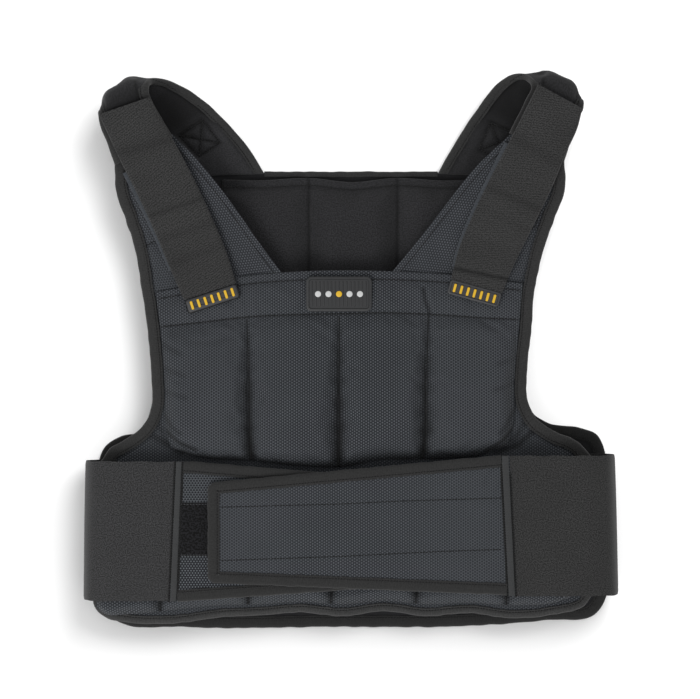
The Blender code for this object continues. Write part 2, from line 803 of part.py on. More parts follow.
def make_elastic(carrier, word, turns, head, foot, slant):
    """A band of elastic that follows the turns. Its end by the flap leans with the joint."""
    line = smooth_line(turns)
    outward = -1 if turns[0].x < 0 else 1

    def face(offset):
        def point(u, v):
            x, height = line(v)
            before = line(max(v - 0.01, 0))
            after = line(min(v + 0.01, 1))
            course = Vector((after[0] - before[0], 0, after[1] - before[1])).normalized()
            normal = Vector((-course.z, 0, course.x)) * -outward
            lean = slant * (2 * u - 1) * ease((v - 0.6) / 0.4)
            y = foot + (head - foot) * u
            return Vector((x + lean, y, height)) + normal * offset

        return point

    half = ELASTIC_THICK / 2
    along = np.linspace(0, 1, 19)
    cloth(f"belt_elastic_{word}", STRETCH, carrier, (0, 0.5, 1), along, face(half), face(-half))


def flap_outline(corners):
    """The corners of a flap, from its joint round its free end, with the two free corners cut."""
    start, near, far, end = (Vector(corner) for corner in corners)
    cuts = [near + (other - near).normalized() * FLAP_CORNER for other in (start, far)]
    cuts += [far + (other - far).normalized() * FLAP_CORNER for other in (near, end)]
    return [start, *cuts, end]


def make_flap(carrier, word, corners, under):
    outline = flap_outline(corners)
    plate(f"belt_flap_{word}", TEXTURED, carrier, [tuple(corner) for corner in outline], under, under + FLAP_THICK)
    start, first, second, third, fourth, end = outline
    start = start + (first - start).normalized() * BINDING_START
    end = end + (fourth - end).normalized() * BINDING_START
    run = [start.lerp(first, share) for share in (0, 0.5, 1)]
    run += [second, third]
    run += [fourth.lerp(end, share) for share in (0, 0.5, 1)]
    edge = [Vector((place.x, place.y, under + FLAP_THICK / 2)) for place in run]
    middle = sum(edge, Vector()) / len(edge)
    binding(f"flap_binding_{word}", BINDING, carrier, edge, towards(edge, middle), thick=FLAP_THICK)


def make_belt(carrier):
    make_elastic(carrier, "left", ELASTIC_LEFT, ELASTIC_LEFT_HEAD, ELASTIC_LEFT_FOOT, JOINT_SLANT)
    make_elastic(carrier, "right", ELASTIC_RIGHT, ELASTIC_RIGHT_HEAD, ELASTIC_RIGHT_FOOT, -JOINT_SLANT)
    make_flap(carrier, "under", UNDER_FLAP, FLAP_UNDER)
    make_flap(carrier, "over", OVER_FLAP, OVER_UNDER)
    for word, strip, flap_under in (("left", STRIP_LEFT, FLAP_UNDER), ("right", STRIP_RIGHT, OVER_UNDER)):
        under = flap_under + FLAP_THICK + GAP
        plate(f"belt_end_strip_{word}", SMOOTH, carrier, strip, under, under + STRIP_THICK)
    for name, look, left, right, under in (
        ("loop_patch", FLEECE, FASTENER_LEFT, FASTENER_RIGHT, LOOP_UNDER),
        ("hook_patch", RUBBER, HOOK_LEFT, HOOK_RIGHT, HOOK_UNDER),
    ):
        outline = ((left, LOOP_FOOT), (right, LOOP_FOOT), (right, LOOP_HEAD), (left, LOOP_HEAD))
        plate(name, look, carrier, outline, under, under + FASTENER_THICK)


def main():
    for leftover in list(bpy.data.objects):
        bpy.data.objects.remove(leftover, do_unlink=True)
    carrier = bpy.data.objects.new("weighted_vest", None)
    carrier.location = Vector((-CENTRE_X, -CENTRE_Y, 0)) * MM
    bpy.context.scene.collection.objects.link(carrier)
    make_back(carrier)
    make_pad(carrier, "left", PAD_LEFT, -1)
    make_pad(carrier, "right", PAD_RIGHT, 1)
    arm_left, arm_right, hem = make_front(carrier)
    wing_left = make_wing(carrier, "left", WING_LEFT_ARM, WING_LEFT_NECK, mirrored=False)
    wing_right = make_wing(carrier, "right", WING_RIGHT_ARM, WING_RIGHT_NECK, mirrored=True)
    make_front_bindings(carrier, (arm_left, arm_right), (wing_left, wing_right), hem)
    make_strap(carrier, "left", STRAP_LEFT)
    make_strap(carrier, "right", STRAP_RIGHT)
    make_patch(carrier)
    make_belt(carrier)


main()
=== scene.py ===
# %% [markdown]
# # A weighted vest that lies on its back
# The vest is cloth all over: filled pockets on a front and a back panel, padded shoulders that fold over, webbing
# straps, an elastic belt with two stiff flaps, and tape round every edge. The frame holds plain solids of all of it.
# This script lays a detailed cloth piece over each of them, gives each its weave and its stitches, and lights the
# scene. Everything is in metres in the frame, and the tables are in millimetres.

# %% Load the frame
import math

import bpy
import numpy as np
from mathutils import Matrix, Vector
from mathutils.bvhtree import BVHTree


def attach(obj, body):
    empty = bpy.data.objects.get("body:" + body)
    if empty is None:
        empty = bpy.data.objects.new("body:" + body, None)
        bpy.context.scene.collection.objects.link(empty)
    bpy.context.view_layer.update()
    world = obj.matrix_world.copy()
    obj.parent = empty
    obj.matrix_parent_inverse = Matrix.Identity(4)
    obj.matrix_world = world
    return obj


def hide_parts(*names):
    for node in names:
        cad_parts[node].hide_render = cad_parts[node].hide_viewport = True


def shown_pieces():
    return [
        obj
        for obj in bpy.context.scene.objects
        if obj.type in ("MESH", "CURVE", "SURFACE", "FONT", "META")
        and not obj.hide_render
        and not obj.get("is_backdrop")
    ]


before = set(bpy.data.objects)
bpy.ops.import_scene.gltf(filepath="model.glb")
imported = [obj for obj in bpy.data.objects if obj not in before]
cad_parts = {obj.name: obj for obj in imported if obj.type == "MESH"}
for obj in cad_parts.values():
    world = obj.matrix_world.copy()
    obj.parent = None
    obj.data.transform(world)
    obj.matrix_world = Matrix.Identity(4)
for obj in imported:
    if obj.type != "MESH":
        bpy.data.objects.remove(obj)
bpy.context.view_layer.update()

# %% [markdown]
# ## Curves and surfaces from short tables
# A pattern cutter draws a piece by a few points on each edge and joins them with a smooth line. `flowing` does that,
# and `between` fills the space between four such edges. `ripple` is a sum of slow waves: cloth is never quite flat,
# and waves give the same folds on each run.

# %% Curves and surfaces
MM = 0.001
CENTRE = np.array([0.6, -4.0, 0.0])  # where the middle of the vest lies in the tables


def in_frame(points):
    return (np.asarray(points, float) - CENTRE) * MM


def ease(share):
    share = np.clip(share, 0.0, 1.0)
    return share * share * (3 - 2 * share)


def swell(share, power=0.5):
    return np.maximum(4 * share * (1 - share), 0.0) ** power


def near(distance, reach):
    """1 on a line and 0 from a reach away."""
    return ease(1 - np.abs(distance) / reach)


def flowing(rows, measured=2):
    rows = np.array(rows, float)
    steps = np.linalg.norm(np.diff(rows[:, :measured], axis=0), axis=1) + 1.0
    stops = np.concatenate([[0.0], np.cumsum(steps)]) / steps.sum()
    slopes = np.gradient(rows, stops, axis=0)

    def at(share):
        share = np.clip(np.atleast_1d(share), 0, 1)
        left = np.clip(np.searchsorted(stops, share, side="right") - 1, 0, len(stops) - 2)
        span = (stops[left + 1] - stops[left])[:, None]
        t = (share[:, None] - stops[left][:, None]) / span
        return (
            (2 * t**3 - 3 * t**2 + 1) * rows[left]
            + (t**3 - 2 * t**2 + t) * span * slopes[left]
            + (3 * t**2 - 2 * t**3) * rows[left + 1]
            + (t**3 - t**2) * span * slopes[left + 1]
        )

    return at


def between(left, right, foot, head):
    left, right, foot, head = (flowing(edge) for edge in (left, right, foot, head))

    def at(u, v):
        a, b = u[:, None], v[:, None]
        across = (1 - a) * left(v) + a * right(v)
        up = (1 - b) * foot(u) + b * head(u)
        low = (1 - a) * foot(0) + a * foot(1)
        high = (1 - a) * head(0) + a * head(1)
        return across + up - (1 - b) * low - b * high

    return at


def ripple(x, y, size, seed, waves=6):
    """Slow waves of about the size given, between about -1.5 and 1.5."""
    chance = np.random.default_rng(seed)
    total = 0.0
    for _ in range(waves):
        turn, phase, stretch = chance.uniform(0, 6.28), chance.uniform(0, 6.28), chance.uniform(0.7, 1.4)
        total = total + np.sin((x * math.cos(turn) + y * math.sin(turn)) * 6.28 / (size * stretch) + phase)
    return total / waves**0.5


def blunt(distance, reach, power=2.2):
    """0 on a line and 1 from a reach away, steep at first and then flat."""
    return 1 - (1 - np.clip(distance / reach, 0, 1)) ** power


def rounded(beside, along, radius):
    """How far inside a corner a point is, from its distances to the two sides."""
    nearest = np.minimum(beside, along)
    corner = radius - np.hypot(np.clip(radius - beside, 0, None), np.clip(radius - along, 0, None))
    return np.where(nearest < radius, corner, nearest)


def unit(rows):
    return rows / np.maximum(np.linalg.norm(rows, axis=1, keepdims=True), 1e-9)


# %% [markdown]
# ## Cloth from a grid
# A cut piece of cloth is a grid that is laid over a surface. Each helper adds Blender's own grid, lays its points, and
# writes where they are on the flat cloth into the UV map, one unit to a metre, so that a weave follows the cloth round
# a fold. `sheet_of` gives the cloth its thickness with Solidify. `pad_of` extrudes the grid into a closed form with a
# face and a back, for what is filled.

# %% Grids
def select_only(piece):
    if bpy.context.mode != "OBJECT":
        bpy.ops.object.mode_set(mode="OBJECT")
    bpy.ops.object.select_all(action="DESELECT")
    piece.select_set(True)
    bpy.context.view_layer.objects.active = piece


def points_of(piece):
    found = np.empty(len(piece.data.vertices) * 3)
    piece.data.vertices.foreach_get("co", found)
    return found.reshape(-1, 3)


def move_points(piece, points):
    piece.data.vertices.foreach_set("co", np.ascontiguousarray(points, dtype=float).ravel())
    piece.data.update()


def write_pattern(piece, pattern):
    corners = np.empty(len(piece.data.loops), dtype=int)
    piece.data.loops.foreach_get("vertex_index", corners)
    piece.data.uv_layers.active.data.foreach_set("uv", (pattern[corners] * MM).ravel())


def flat_grid(name, columns, rows):
    bpy.ops.object.select_all(action="DESELECT")
    bpy.ops.mesh.primitive_grid_add(x_subdivisions=columns, y_subdivisions=rows, size=2)
    piece = bpy.context.object
    piece.name = piece.data.name = name
    return piece


def modified(piece, kind, **settings):
    """Adds one modifier, sets it and applies it."""
    select_only(piece)
    bpy.ops.object.modifier_add(type=kind)
    modifier = piece.modifiers[-1]
    for setting, value in settings.items():
        setattr(modifier, setting, value)
    bpy.ops.object.modifier_apply(modifier=modifier.name)


def smooth(piece, degrees=50):
    select_only(piece)
    bpy.ops.object.shade_smooth_by_angle(angle=math.radians(degrees))


def normals_of(piece):
    found = np.empty(len(piece.data.vertices) * 3)
    piece.data.vertices.foreach_get("normal", found)
    return found.reshape(-1, 3)


def sheet_of(name, columns, rows, surface, thick):
    """surface gives points, pattern places and outward directions, from the shares across and up."""
    piece = flat_grid(name, columns, rows)
    flat = (points_of(piece) + 1) / 2
    points, pattern, outward = surface(flat[:, 0], flat[:, 1])
    move_points(piece, in_frame(points))
    write_pattern(piece, pattern)
    if (normals_of(piece) * outward).sum() < 0:
        select_only(piece)
        bpy.ops.object.mode_set(mode="EDIT")
        bpy.ops.mesh.select_all(action="SELECT")
        bpy.ops.mesh.flip_normals()
        bpy.ops.object.mode_set(mode="OBJECT")
    modified(piece, "SOLIDIFY", thickness=thick * MM, offset=-1.0, use_even_offset=False)
    smooth(piece)
    return piece


def pad_of(name, columns, rows, face, back, spread=None):
    """A closed form between two surfaces. Returns it, and for each of its points the shares and whether it's above."""
    piece = flat_grid(name, columns, rows)
    bpy.ops.object.mode_set(mode="EDIT")
    bpy.ops.mesh.select_all(action="SELECT")
    bpy.ops.mesh.extrude_region_move(TRANSFORM_OT_translate={"value": (0, 0, 1)})
    bpy.ops.object.mode_set(mode="OBJECT")
    flat = points_of(piece)
    u, v, upper = (flat[:, 0] + 1) / 2, (flat[:, 1] + 1) / 2, flat[:, 2] > 0.5
    if spread:
        u, v = spread(u, v)
    over, pattern = face(u, v)
    under, _ = back(u, v)
    move_points(piece, in_frame(np.where(upper[:, None], over, under)))
    write_pattern(piece, pattern)
    return piece, u, v, upper


def outwards(piece):
    select_only(piece)
    bpy.ops.object.mode_set(mode="EDIT")
    bpy.ops.mesh.select_all(action="SELECT")
    bpy.ops.mesh.normals_make_consistent(inside=False)
    bpy.ops.object.mode_set(mode="OBJECT")


# %% [markdown]
# ## Filling a pocket
# A real pocket is flat cloth, a little larger than the place it is sewn to, pushed out by what is in it. Blender's
# Cloth does the same: the seams are held, a pressure pushes from inside, and the spare cloth buckles into small folds
# beside the seams. How far each point may go is capped, so that the pocket keeps its size.

# %% Cloth under pressure
def fill_out(piece, held, pressure, spare, cap, frames=20):
    start = points_of(piece)
    group = piece.vertex_groups.new(name="held")
    group.add(np.flatnonzero(held).tolist(), 1.0, "REPLACE")
    select_only(piece)
    bpy.ops.object.modifier_add(type="CLOTH")
    cloth = piece.modifiers[-1]
    settings = cloth.settings
    settings.quality = 5
    settings.mass = 0.2
    settings.tension_stiffness = 20
    settings.compression_stiffness = 20
    settings.shear_stiffness = 10
    settings.bending_stiffness = 0.6
    settings.vertex_group_mass = "held"
    settings.shrink_min = -spare
    settings.use_pressure = True
    settings.uniform_pressure_force = pressure
    settings.effector_weights.gravity = 0.0
    cloth.collision_settings.use_collision = False
    cloth.point_cache.frame_end = frames
    for step in range(1, frames + 1):
        bpy.context.scene.frame_set(step)
    bpy.ops.object.modifier_apply(modifier=cloth.name)
    bpy.context.scene.frame_set(1)
    moved = points_of(piece) - start
    far = np.linalg.norm(moved, axis=1, keepdims=True)
    moved *= np.minimum(1.0, cap * MM / np.maximum(far, 1e-9))
    move_points(piece, start + moved)
    piece.vertex_groups.remove(piece.vertex_groups["held"])
    print(piece.name, "filled out, moved up to", round(float(far.max()) / MM, 1), "mm")


# %% [markdown]
# ## Materials
# All cloth here is charcoal, so what tells the pieces apart is their weave: small raised dots in a honeycomb on the
# outer cloth, fine ribs on webbing and elastic, and a soft nap on the lining. Each material is a Principled shader.
# The weave drives its colour, its roughness and a bump, and a slow noise makes some places a little lighter or
# darker, as dye and handling do. Patterns read the UV map, which holds metres of flat cloth.

# %% Material helpers
def linear(channel):
    share = channel / 255
    return share / 12.92 if share <= 0.04045 else ((share + 0.055) / 1.055) ** 2.4


LIGHT = 1.7  # how much light a white card on the vest would send back


def colour(red, green, blue):
    """The colour of a surface that looks like this under the scene's light."""
    return tuple(linear(channel) / LIGHT for channel in (red, green, blue)) + (1.0,)


class Recipe:
    """A new material, with short calls for the nodes that it needs."""

    def __init__(self, name, roughness, sheen=0.0, specular=0.3):
        self.material = bpy.data.materials.new(name)
        self.material.use_nodes = True
        self.nodes = self.material.node_tree.nodes
        self.links = self.material.node_tree.links
        self.shader = self.nodes["Principled BSDF"]
        self.shader.inputs["Roughness"].default_value = roughness
        self.shader.inputs["Specular IOR Level"].default_value = specular
        self.shader.inputs["Sheen Weight"].default_value = sheen
        self.shader.inputs["Sheen Roughness"].default_value = 0.5
        self.cloth_place = self.nodes.new("ShaderNodeUVMap").outputs["UV"]
        self.place = self.nodes.new("ShaderNodeTexCoord").outputs["Object"]

    def give(self, socket, value):
        if hasattr(value, "links"):
            self.links.new(value, socket)
        else:
            socket.default_value = value

    def sum(self, kind, first, second=0.0, third=0.0, clamp=False):
        node = self.nodes.new("ShaderNodeMath")
        node.operation = kind
        node.use_clamp = clamp
        for socket, value in zip(node.inputs, (first, second, third)):
            self.give(socket, value)
        return node.outputs[0]

    def along(self, place, direction):
        """How far a place is along a direction."""
        node = self.nodes.new("ShaderNodeVectorMath")
        node.operation = "DOT_PRODUCT"
        self.links.new(place, node.inputs[0])
        node.inputs[1].default_value = direction
        return node.outputs["Value"]

    def waves(self, place, direction, pitch):
        """A cosine across stripes of a pitch in millimetres, from -1 to 1."""
        count = 2 * math.pi / (pitch * MM)
        length = math.hypot(*direction)
        vector = (direction[0] / length * count, direction[1] / length * count, 0.0)
        return self.sum("COSINE", self.along(place, vector))

    def cloudy(self, place, size, detail=2.0):
        """A noise from 0 to 1 with clouds of a size in millimetres."""
        node = self.nodes.new("ShaderNodeTexNoise")
        self.links.new(place, node.inputs["Vector"])
        node.inputs["Scale"].default_value = 1 / (size * MM)
        node.inputs["Detail"].default_value = detail
        return node.outputs["Fac"]

    def between(self, value, low, high, to_low, to_high):
        node = self.nodes.new("ShaderNodeMapRange")
        for socket, setting in zip(node.inputs, (value, low, high, to_low, to_high)):
            self.give(socket, setting)
        return node.outputs["Result"]

    def mixed(self, share, first, second):
        node = self.nodes.new("ShaderNodeMix")
        node.data_type = "RGBA"
        self.give(node.inputs[0], share)
        self.give(node.inputs[6], first)
        self.give(node.inputs[7], second)
        return node.outputs[2]

    def tinted(self, colours, value):
        """A colour made lighter or darker by a value round 1."""
        node = self.nodes.new("ShaderNodeVectorMath")
        node.operation = "SCALE"
        self.links.new(colours, node.inputs[0])
        self.links.new(value, node.inputs["Scale"])
        return node.outputs["Vector"]

    def raised(self, height, depth, strength=1.0, over=None):
        """A bump, its height from 0 to 1 standing for a depth in millimetres."""
        node = self.nodes.new("ShaderNodeBump")
        node.inputs["Distance"].default_value = depth * MM
        node.inputs["Strength"].default_value = strength
        self.links.new(height, node.inputs["Height"])
        if over is not None:
            self.links.new(over, node.inputs["Normal"])
        return node.outputs["Normal"]

    def painted_shade(self, base):
        """A colour made darker by the mesh's shade attribute: painted shade."""
        node = self.nodes.new("ShaderNodeAttribute")
        node.attribute_name = "shade"
        return self.tinted(base, node.outputs["Fac"])

    def finished(self, base, roughness=None, normal=None):
        self.give(self.shader.inputs["Base Color"], base)
        if roughness is not None:
            self.links.new(roughness, self.shader.inputs["Roughness"])
        if normal is not None:
            self.links.new(normal, self.shader.inputs["Normal"])
        return self.material


# %% [markdown]
# ### The outer cloth
# Its raised dots lie in a honeycomb, about 2.7 mm apart. Three sets of waves, about a third of a turn from each other,
# add up to just such a lattice of peaks, so the dots need no picture. The dots catch the light and the hollows between
# them stay dark.

# %% Dotted outer cloth
DOT_WAVES = ((1.0, 0.0, 2.32), (0.537, 0.843, 2.47), (0.537, -0.843, 2.47))  # direction and pitch in millimetres


def dotted_cloth(name, ground, dot, tint=1.0, painted_shade=False):
    recipe = Recipe(name, 0.8, sheen=0.04, specular=0.2)
    total = 0.0
    for across, up, pitch in DOT_WAVES:
        total = recipe.sum("ADD", recipe.waves(recipe.cloth_place, (across, up), pitch), total)
    dots = recipe.between(total, -0.4, 2.4, 0.0, 1.0)
    thread = recipe.cloudy(recipe.cloth_place, 0.8)
    slow = recipe.cloudy(recipe.place, 30.0)
    base = recipe.mixed(dots, colour(*ground), colour(*dot))
    base = recipe.tinted(base, recipe.between(slow, 0.25, 0.75, 0.94 * tint, 1.06 * tint))
    base = recipe.tinted(base, recipe.between(thread, 0.35, 0.65, 0.75, 1.25))
    # painted shade from the mesh's shade attribute
    if painted_shade:
        base = recipe.painted_shade(base)
    height = recipe.sum("ADD", dots, recipe.sum("MULTIPLY", thread, 0.5))
    return recipe.finished(base, recipe.between(dots, 0, 1, 0.9, 0.68), recipe.raised(height, 0.25, 0.8))


# %% [markdown]
# ### Webbing, tape, elastic, lining and fleece
# These have no dots. Ribs run across or along the band, a fine noise stands for single threads, and the lining and
# the fleece have sheen, which lightens their edges as a nap does.

# %% Ribbed and napped cloth
def plain_cloth(name, tone, rib=None, pitch=1.3, grain=0.8, speckle=0.12, depth=0.12, sheen=0.1, rough=0.85, ribs=0.08,
                sharp=0.12, painted_shade=False):
    recipe = Recipe(name, rough, sheen=sheen, specular=0.2)
    thread = recipe.cloudy(recipe.cloth_place, grain, 3.0)
    clouds = recipe.cloudy(recipe.place, 30.0)
    height = thread
    shade = recipe.between(thread, 0.5 - sharp, 0.5 + sharp, 1 - speckle, 1 + speckle)
    if rib:
        stripes = recipe.waves(recipe.cloth_place, rib, pitch)
        height = recipe.sum("MULTIPLY_ADD", stripes, 0.35, thread)
        shade = recipe.sum("MULTIPLY_ADD", stripes, ribs, shade)
    base = recipe.nodes.new("ShaderNodeRGB")
    base.outputs[0].default_value = colour(*tone)
    base = recipe.tinted(base.outputs[0], shade)
    base = recipe.tinted(base, recipe.between(clouds, 0.25, 0.75, 0.94, 1.06))
    # painted shade from the mesh's shade attribute
    if painted_shade:
        base = recipe.painted_shade(base)
    rough_map = recipe.between(thread, 0.3, 0.7, rough - 0.06, min(rough + 0.08, 1.0))
    return recipe.finished(base, rough_map, recipe.raised(height, depth, 0.7))


def moulded(name, tone, rough=0.5):
    """Rubber with a fine pebble and a little dust in its hollows."""
    recipe = Recipe(name, rough, specular=0.4)
    pebble = recipe.cloudy(recipe.place, 0.5, 3.0)
    dust = recipe.cloudy(recipe.place, 9.0, 4.0)
    base = recipe.mixed(recipe.between(dust, 0.45, 0.8, 0.0, 0.35), colour(*tone), colour(*(c + 16 for c in tone)))
    roughness = recipe.between(dust, 0.3, 0.7, rough - 0.06, rough + 0.12)
    return recipe.finished(base, roughness, recipe.raised(pebble, 0.05, 0.5))


outer_cloth = dotted_cloth("outer_cloth", (43, 46, 50), (88, 91, 96))
# Materials that take the shade attribute are painted darker where the mesh holds painted shade.
pocket_cloth = dotted_cloth("pocket_cloth", (38, 41, 45), (94, 97, 102), painted_shade=True)
base_cloth = dotted_cloth("base_cloth", (43, 46, 50), (88, 91, 96), painted_shade=True)
under_cloth = dotted_cloth("under_cloth", (28, 31, 35), (102, 106, 111))
webbing = plain_cloth("webbing", (49, 49, 49), rib=(0.35, 1.0), pitch=2.4, grain=1.2, speckle=0.6, depth=0.2, ribs=0.2,
                      sharp=0.08, painted_shade=True)
backing_cloth = plain_cloth("backing_cloth", (64, 68, 73), rib=(0.3, 1.0), pitch=2.0, speckle=0.4)
lining_cloth = plain_cloth("lining_cloth", (41, 41, 43), grain=1.3, speckle=0.5, sharp=0.09, rough=0.95, painted_shade=True)
panel_lining = plain_cloth("panel_lining", (36, 36, 38), grain=1.6, speckle=0.2, sheen=0.05, rough=0.95)
pad_cloth = plain_cloth("pad_cloth", (47, 47, 49), grain=1.3, speckle=0.35, sharp=0.09, rough=0.95, painted_shade=True)
edge_tape = plain_cloth("edge_tape", (48, 48, 48), rib=(0.2, 1.0), pitch=2.2, grain=1.6, speckle=0.3)
pad_edge_tape = plain_cloth(
    "pad_edge_tape", (48, 48, 48), rib=(0.2, 1.0), pitch=2.2, grain=1.6, speckle=0.3, painted_shade=True,
)
back_edge_tape = plain_cloth("back_edge_tape", (38, 38, 38), rib=(0.2, 1.0), pitch=2.2, grain=1.6, speckle=0.3)
foot_edge_tape = plain_cloth("foot_edge_tape", (58, 58, 58), rib=(0.2, 1.0), pitch=2.2, grain=1.6, speckle=0.3)
flap_edge_tape = plain_cloth("flap_edge_tape", (42, 42, 42), rib=(0.2, 1.0), pitch=2.2, grain=1.6, speckle=0.3)
elastic_cloth = plain_cloth("elastic_cloth", (50, 50, 51), grain=1.1, speckle=0.75, sharp=0.1, depth=0.2)
# A darker copy for the right band: painted shade, as the vest is lit more from the left.
shaded_elastic_cloth = plain_cloth("shaded_elastic_cloth", (46, 46, 46), grain=1.1, speckle=0.75, sharp=0.1, depth=0.2)
joint_tape = plain_cloth("joint_tape", (58, 59, 60), rib=(0.0, 1.0), pitch=1.6, speckle=0.25)
loop_fleece = plain_cloth(
    "loop_fleece", (19, 19, 21), grain=2.0, speckle=1.0, sharp=0.05, depth=0.8, sheen=0.03, rough=1.0,
)
thread_dark = plain_cloth("thread_dark", (14, 14, 15), grain=0.5, speckle=0.2)
thread_grey = plain_cloth("thread_grey", (74, 75, 78), grain=0.5, speckle=0.2)
black_rubber = moulded("black_rubber", (34, 35, 37))
grey_rubber = moulded("grey_rubber", (51, 51, 53), 0.5)
yellow_rubber = moulded("yellow_rubber", (238, 190, 30), 0.45)
pale_rubber = moulded("pale_rubber", (215, 216, 216), 0.45)
print(len(bpy.data.materials), "materials")


# %% [markdown]
# ## Joining a piece to the vest
# Each piece rides on the one body, takes its material, and stands for its plain solid, which is hidden. Sheets say
# how large their cloth was when it was flat, and filled pieces say how full they are.

# %% Dressing a piece
def shaded(piece, shade):
    """Writes how light each point of the cloth is painted, as painted shade and light, before any modifier."""
    layer = piece.data.attributes.new(name="shade", type="FLOAT", domain="POINT")
    layer.data.foreach_set("value", np.ascontiguousarray(shade, dtype=float))


def dressed(piece, material, *nodes):
    piece.data.materials.clear()
    piece.data.materials.append(material)
    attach(piece, "root")
    if nodes:
        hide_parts(*nodes)
    return piece


def cut_area(piece):
    """The area of the flat cloth that a piece was cut from, by its pattern. Both of its faces carry the pattern."""
    spots = np.empty(len(piece.data.loops) * 2)
    piece.data.uv_layers.active.data.foreach_get("uv", spots)
    x, y = spots.reshape(-1, 2).T
    total = 0.0
    for polygon in piece.data.polygons:
        run = np.arange(polygon.loop_start, polygon.loop_start + polygon.loop_total)
        after = np.roll(run, -1)
        total += abs((x[run] * y[after] - x[after] * y[run]).sum()) / 2
    return total / 2


def laid(piece):
    area = cut_area(piece)
    print(piece.name, "is cut from", round(area * 1e4), "square centimetres")


# %% [markdown]
# ## Stitches
# A row of stitches is many short threads on one line. One thread is a low five-sided bead, and it is copied along the
# line into one mesh. A ray finds the cloth under each stitch, so the row follows every dent.

# %% Stitches along a line
BEAD_RINGS = ((0.0, 0.3), (0.25, 1.0), (0.75, 1.0), (1.0, 0.3))  # share of its length, share of its width
BEAD_SIDES = 5
BEAD_RISE = 0.12
BEAD_FLATNESS = 0.8


def spaced(points, pitch):
    """Points a pitch apart along a line of points, with the directions there."""
    points = np.asarray(points, float)
    steps = np.linalg.norm(np.diff(points, axis=0), axis=1)
    run = np.concatenate([[0], np.cumsum(steps)])
    at = np.arange(pitch / 2, run[-1], pitch)
    line = np.stack([np.interp(at, run, points[:, k]) for k in range(points.shape[1])], axis=1)
    ahead = np.stack([np.interp(at + 0.5, run, points[:, k]) for k in range(points.shape[1])], axis=1)
    behind = np.stack([np.interp(at - 0.5, run, points[:, k]) for k in range(points.shape[1])], axis=1)
    return line, ahead - behind


def tree_of(piece):
    return BVHTree.FromObject(piece, bpy.context.evaluated_depsgraph_get())


def found_on(tree, x, y, start, down=True):
    """Where a ray through a table place meets a piece, in table millimetres, with the normal there."""
    origin = Vector(in_frame((x, y, start)))
    hit, normal, _, _ = tree.ray_cast(origin, Vector((0, 0, -1 if down else 1)))
    if hit is None:
        return None
    return np.array(hit) / MM + CENTRE, np.array(normal)


def stitches(name, material, rows, start=90.0, pitch=3.2, long=2.3, wide=0.34, down=True):
    """rows are (piece, points in plan) pairs. Each row becomes threads that lie on its piece."""
    corners, faces = [], []
    sides = BEAD_SIDES
    around = np.linspace(0, 2 * math.pi, sides, endpoint=False)
    trees = {}
    for piece, plan in rows:
        tree = trees.setdefault(piece.name, tree_of(piece))
        for (x, y), course in zip(*spaced(np.asarray(plan)[:, :2], pitch)):
            found = found_on(tree, x, y, start, down)
            if found is None:
                continue
            spot, up = found
            if (up[2] > 0) != down:
                up = -up
            course = np.array([course[0], course[1], 0.0])
            course = course - up * course.dot(up)
            course /= max(np.linalg.norm(course), 1e-9)
            side = np.cross(up, course)
            first = len(corners)
            for share, fat in BEAD_RINGS:
                middle = spot + course * (share - 0.5) * long + up * BEAD_RISE
                for angle in around:
                    out = side * math.cos(angle) + up * math.sin(angle) * BEAD_FLATNESS
                    corners.append(middle + fat * wide * out)
            for ring in range(len(BEAD_RINGS) - 1):
                for k in range(sides):
                    a, b = first + ring * sides + k, first + ring * sides + (k + 1) % sides
                    faces.append((a, b, b + sides, a + sides))
            faces.append(tuple(first + k for k in reversed(range(sides))))
            last = first + (len(BEAD_RINGS) - 1) * sides
            faces.append(tuple(last + k for k in range(sides)))
    mesh = bpy.data.meshes.new(name)
    mesh.from_pydata(in_frame(corners).tolist(), [], faces)
    mesh.uv_layers.new(name="UVMap")
    piece = bpy.data.objects.new(name, mesh)
    bpy.context.scene.collection.objects.link(piece)
    smooth(piece, 80)
    dressed(piece, material)
    print(name, len(faces) // (len(BEAD_RINGS) * sides - sides + 2), "stitches")
    return piece


# %% [markdown]
# ## Heights that the pieces share
# The layers lie on each other, so their levels are named once: the back panel, the front panel over the hollow for
# the wearer, and the belt on top.

# %% Levels
GAP = 0.3
CLOTH = 3.0
BACK_TOP = 4.0
FRONT_FLOOR = 33.0
FRONT_TOP = 36.0
BACK_FILL = 18.0
CHEST_FILL = 19.0
LOWER_FILL = 17.5
YOKE_FILL = 5.0
HEM_THICK = 2.4
FLAP_UNDER = 56.0
FLAP_THICK = 2.6
OVER_UNDER = 61.9

# %% [markdown]
# ## The back panel
# It is the flat cloth that everything lies on. Its outer face is against the floor, so only its border, the strip
# beside the pockets and its quilted underside show. The grid runs from edge to edge, and the quilting is drawn in by
# grooves under the seams between its pockets.

# %% Back panel
BACK_LEFT = ((-244, -269), (-252, -262), (-256, -240), (-256, -180), (-255, -125), (-250, -103), (-238, -93),
             (-218, -86), (-203, -77), (-196, -52), (-191, 0), (-190, 60), (-188, 130), (-184.5, 176.2))
BACK_RIGHT = ((255, -262), (259, -250), (260, -200), (259, -140), (257, -106), (248, -88), (230, -81), (202, -76),
              (187, -67), (178, -40), (178, 0), (183, 60), (187, 130), (184.5, 176.2))
BACK_FOOT = ((-244, -269), (-225, -277), (-172, -280), (-20, -280.5), (122, -279), (203, -273), (240, -268),
             (255, -262))
BACK_HEAD = ((-184.5, 176.2), (-153, 177.2), (-120, 178.2), (-88, 179.2), (-30, 179.2), (30, 179.2), (90, 179.2),
             (122, 178.2), (153, 177.2), (184.5, 176.2))
QUILTING = (-140, -43, 46, 138)
back_place = between(BACK_LEFT, BACK_RIGHT, BACK_FOOT, BACK_HEAD)


def back_cloth_face(u, v):
    place = back_place(u, v)
    x, y = place.T
    level = np.full_like(x, BACK_TOP - 0.1)
    return np.stack([x, y, level], 1), place


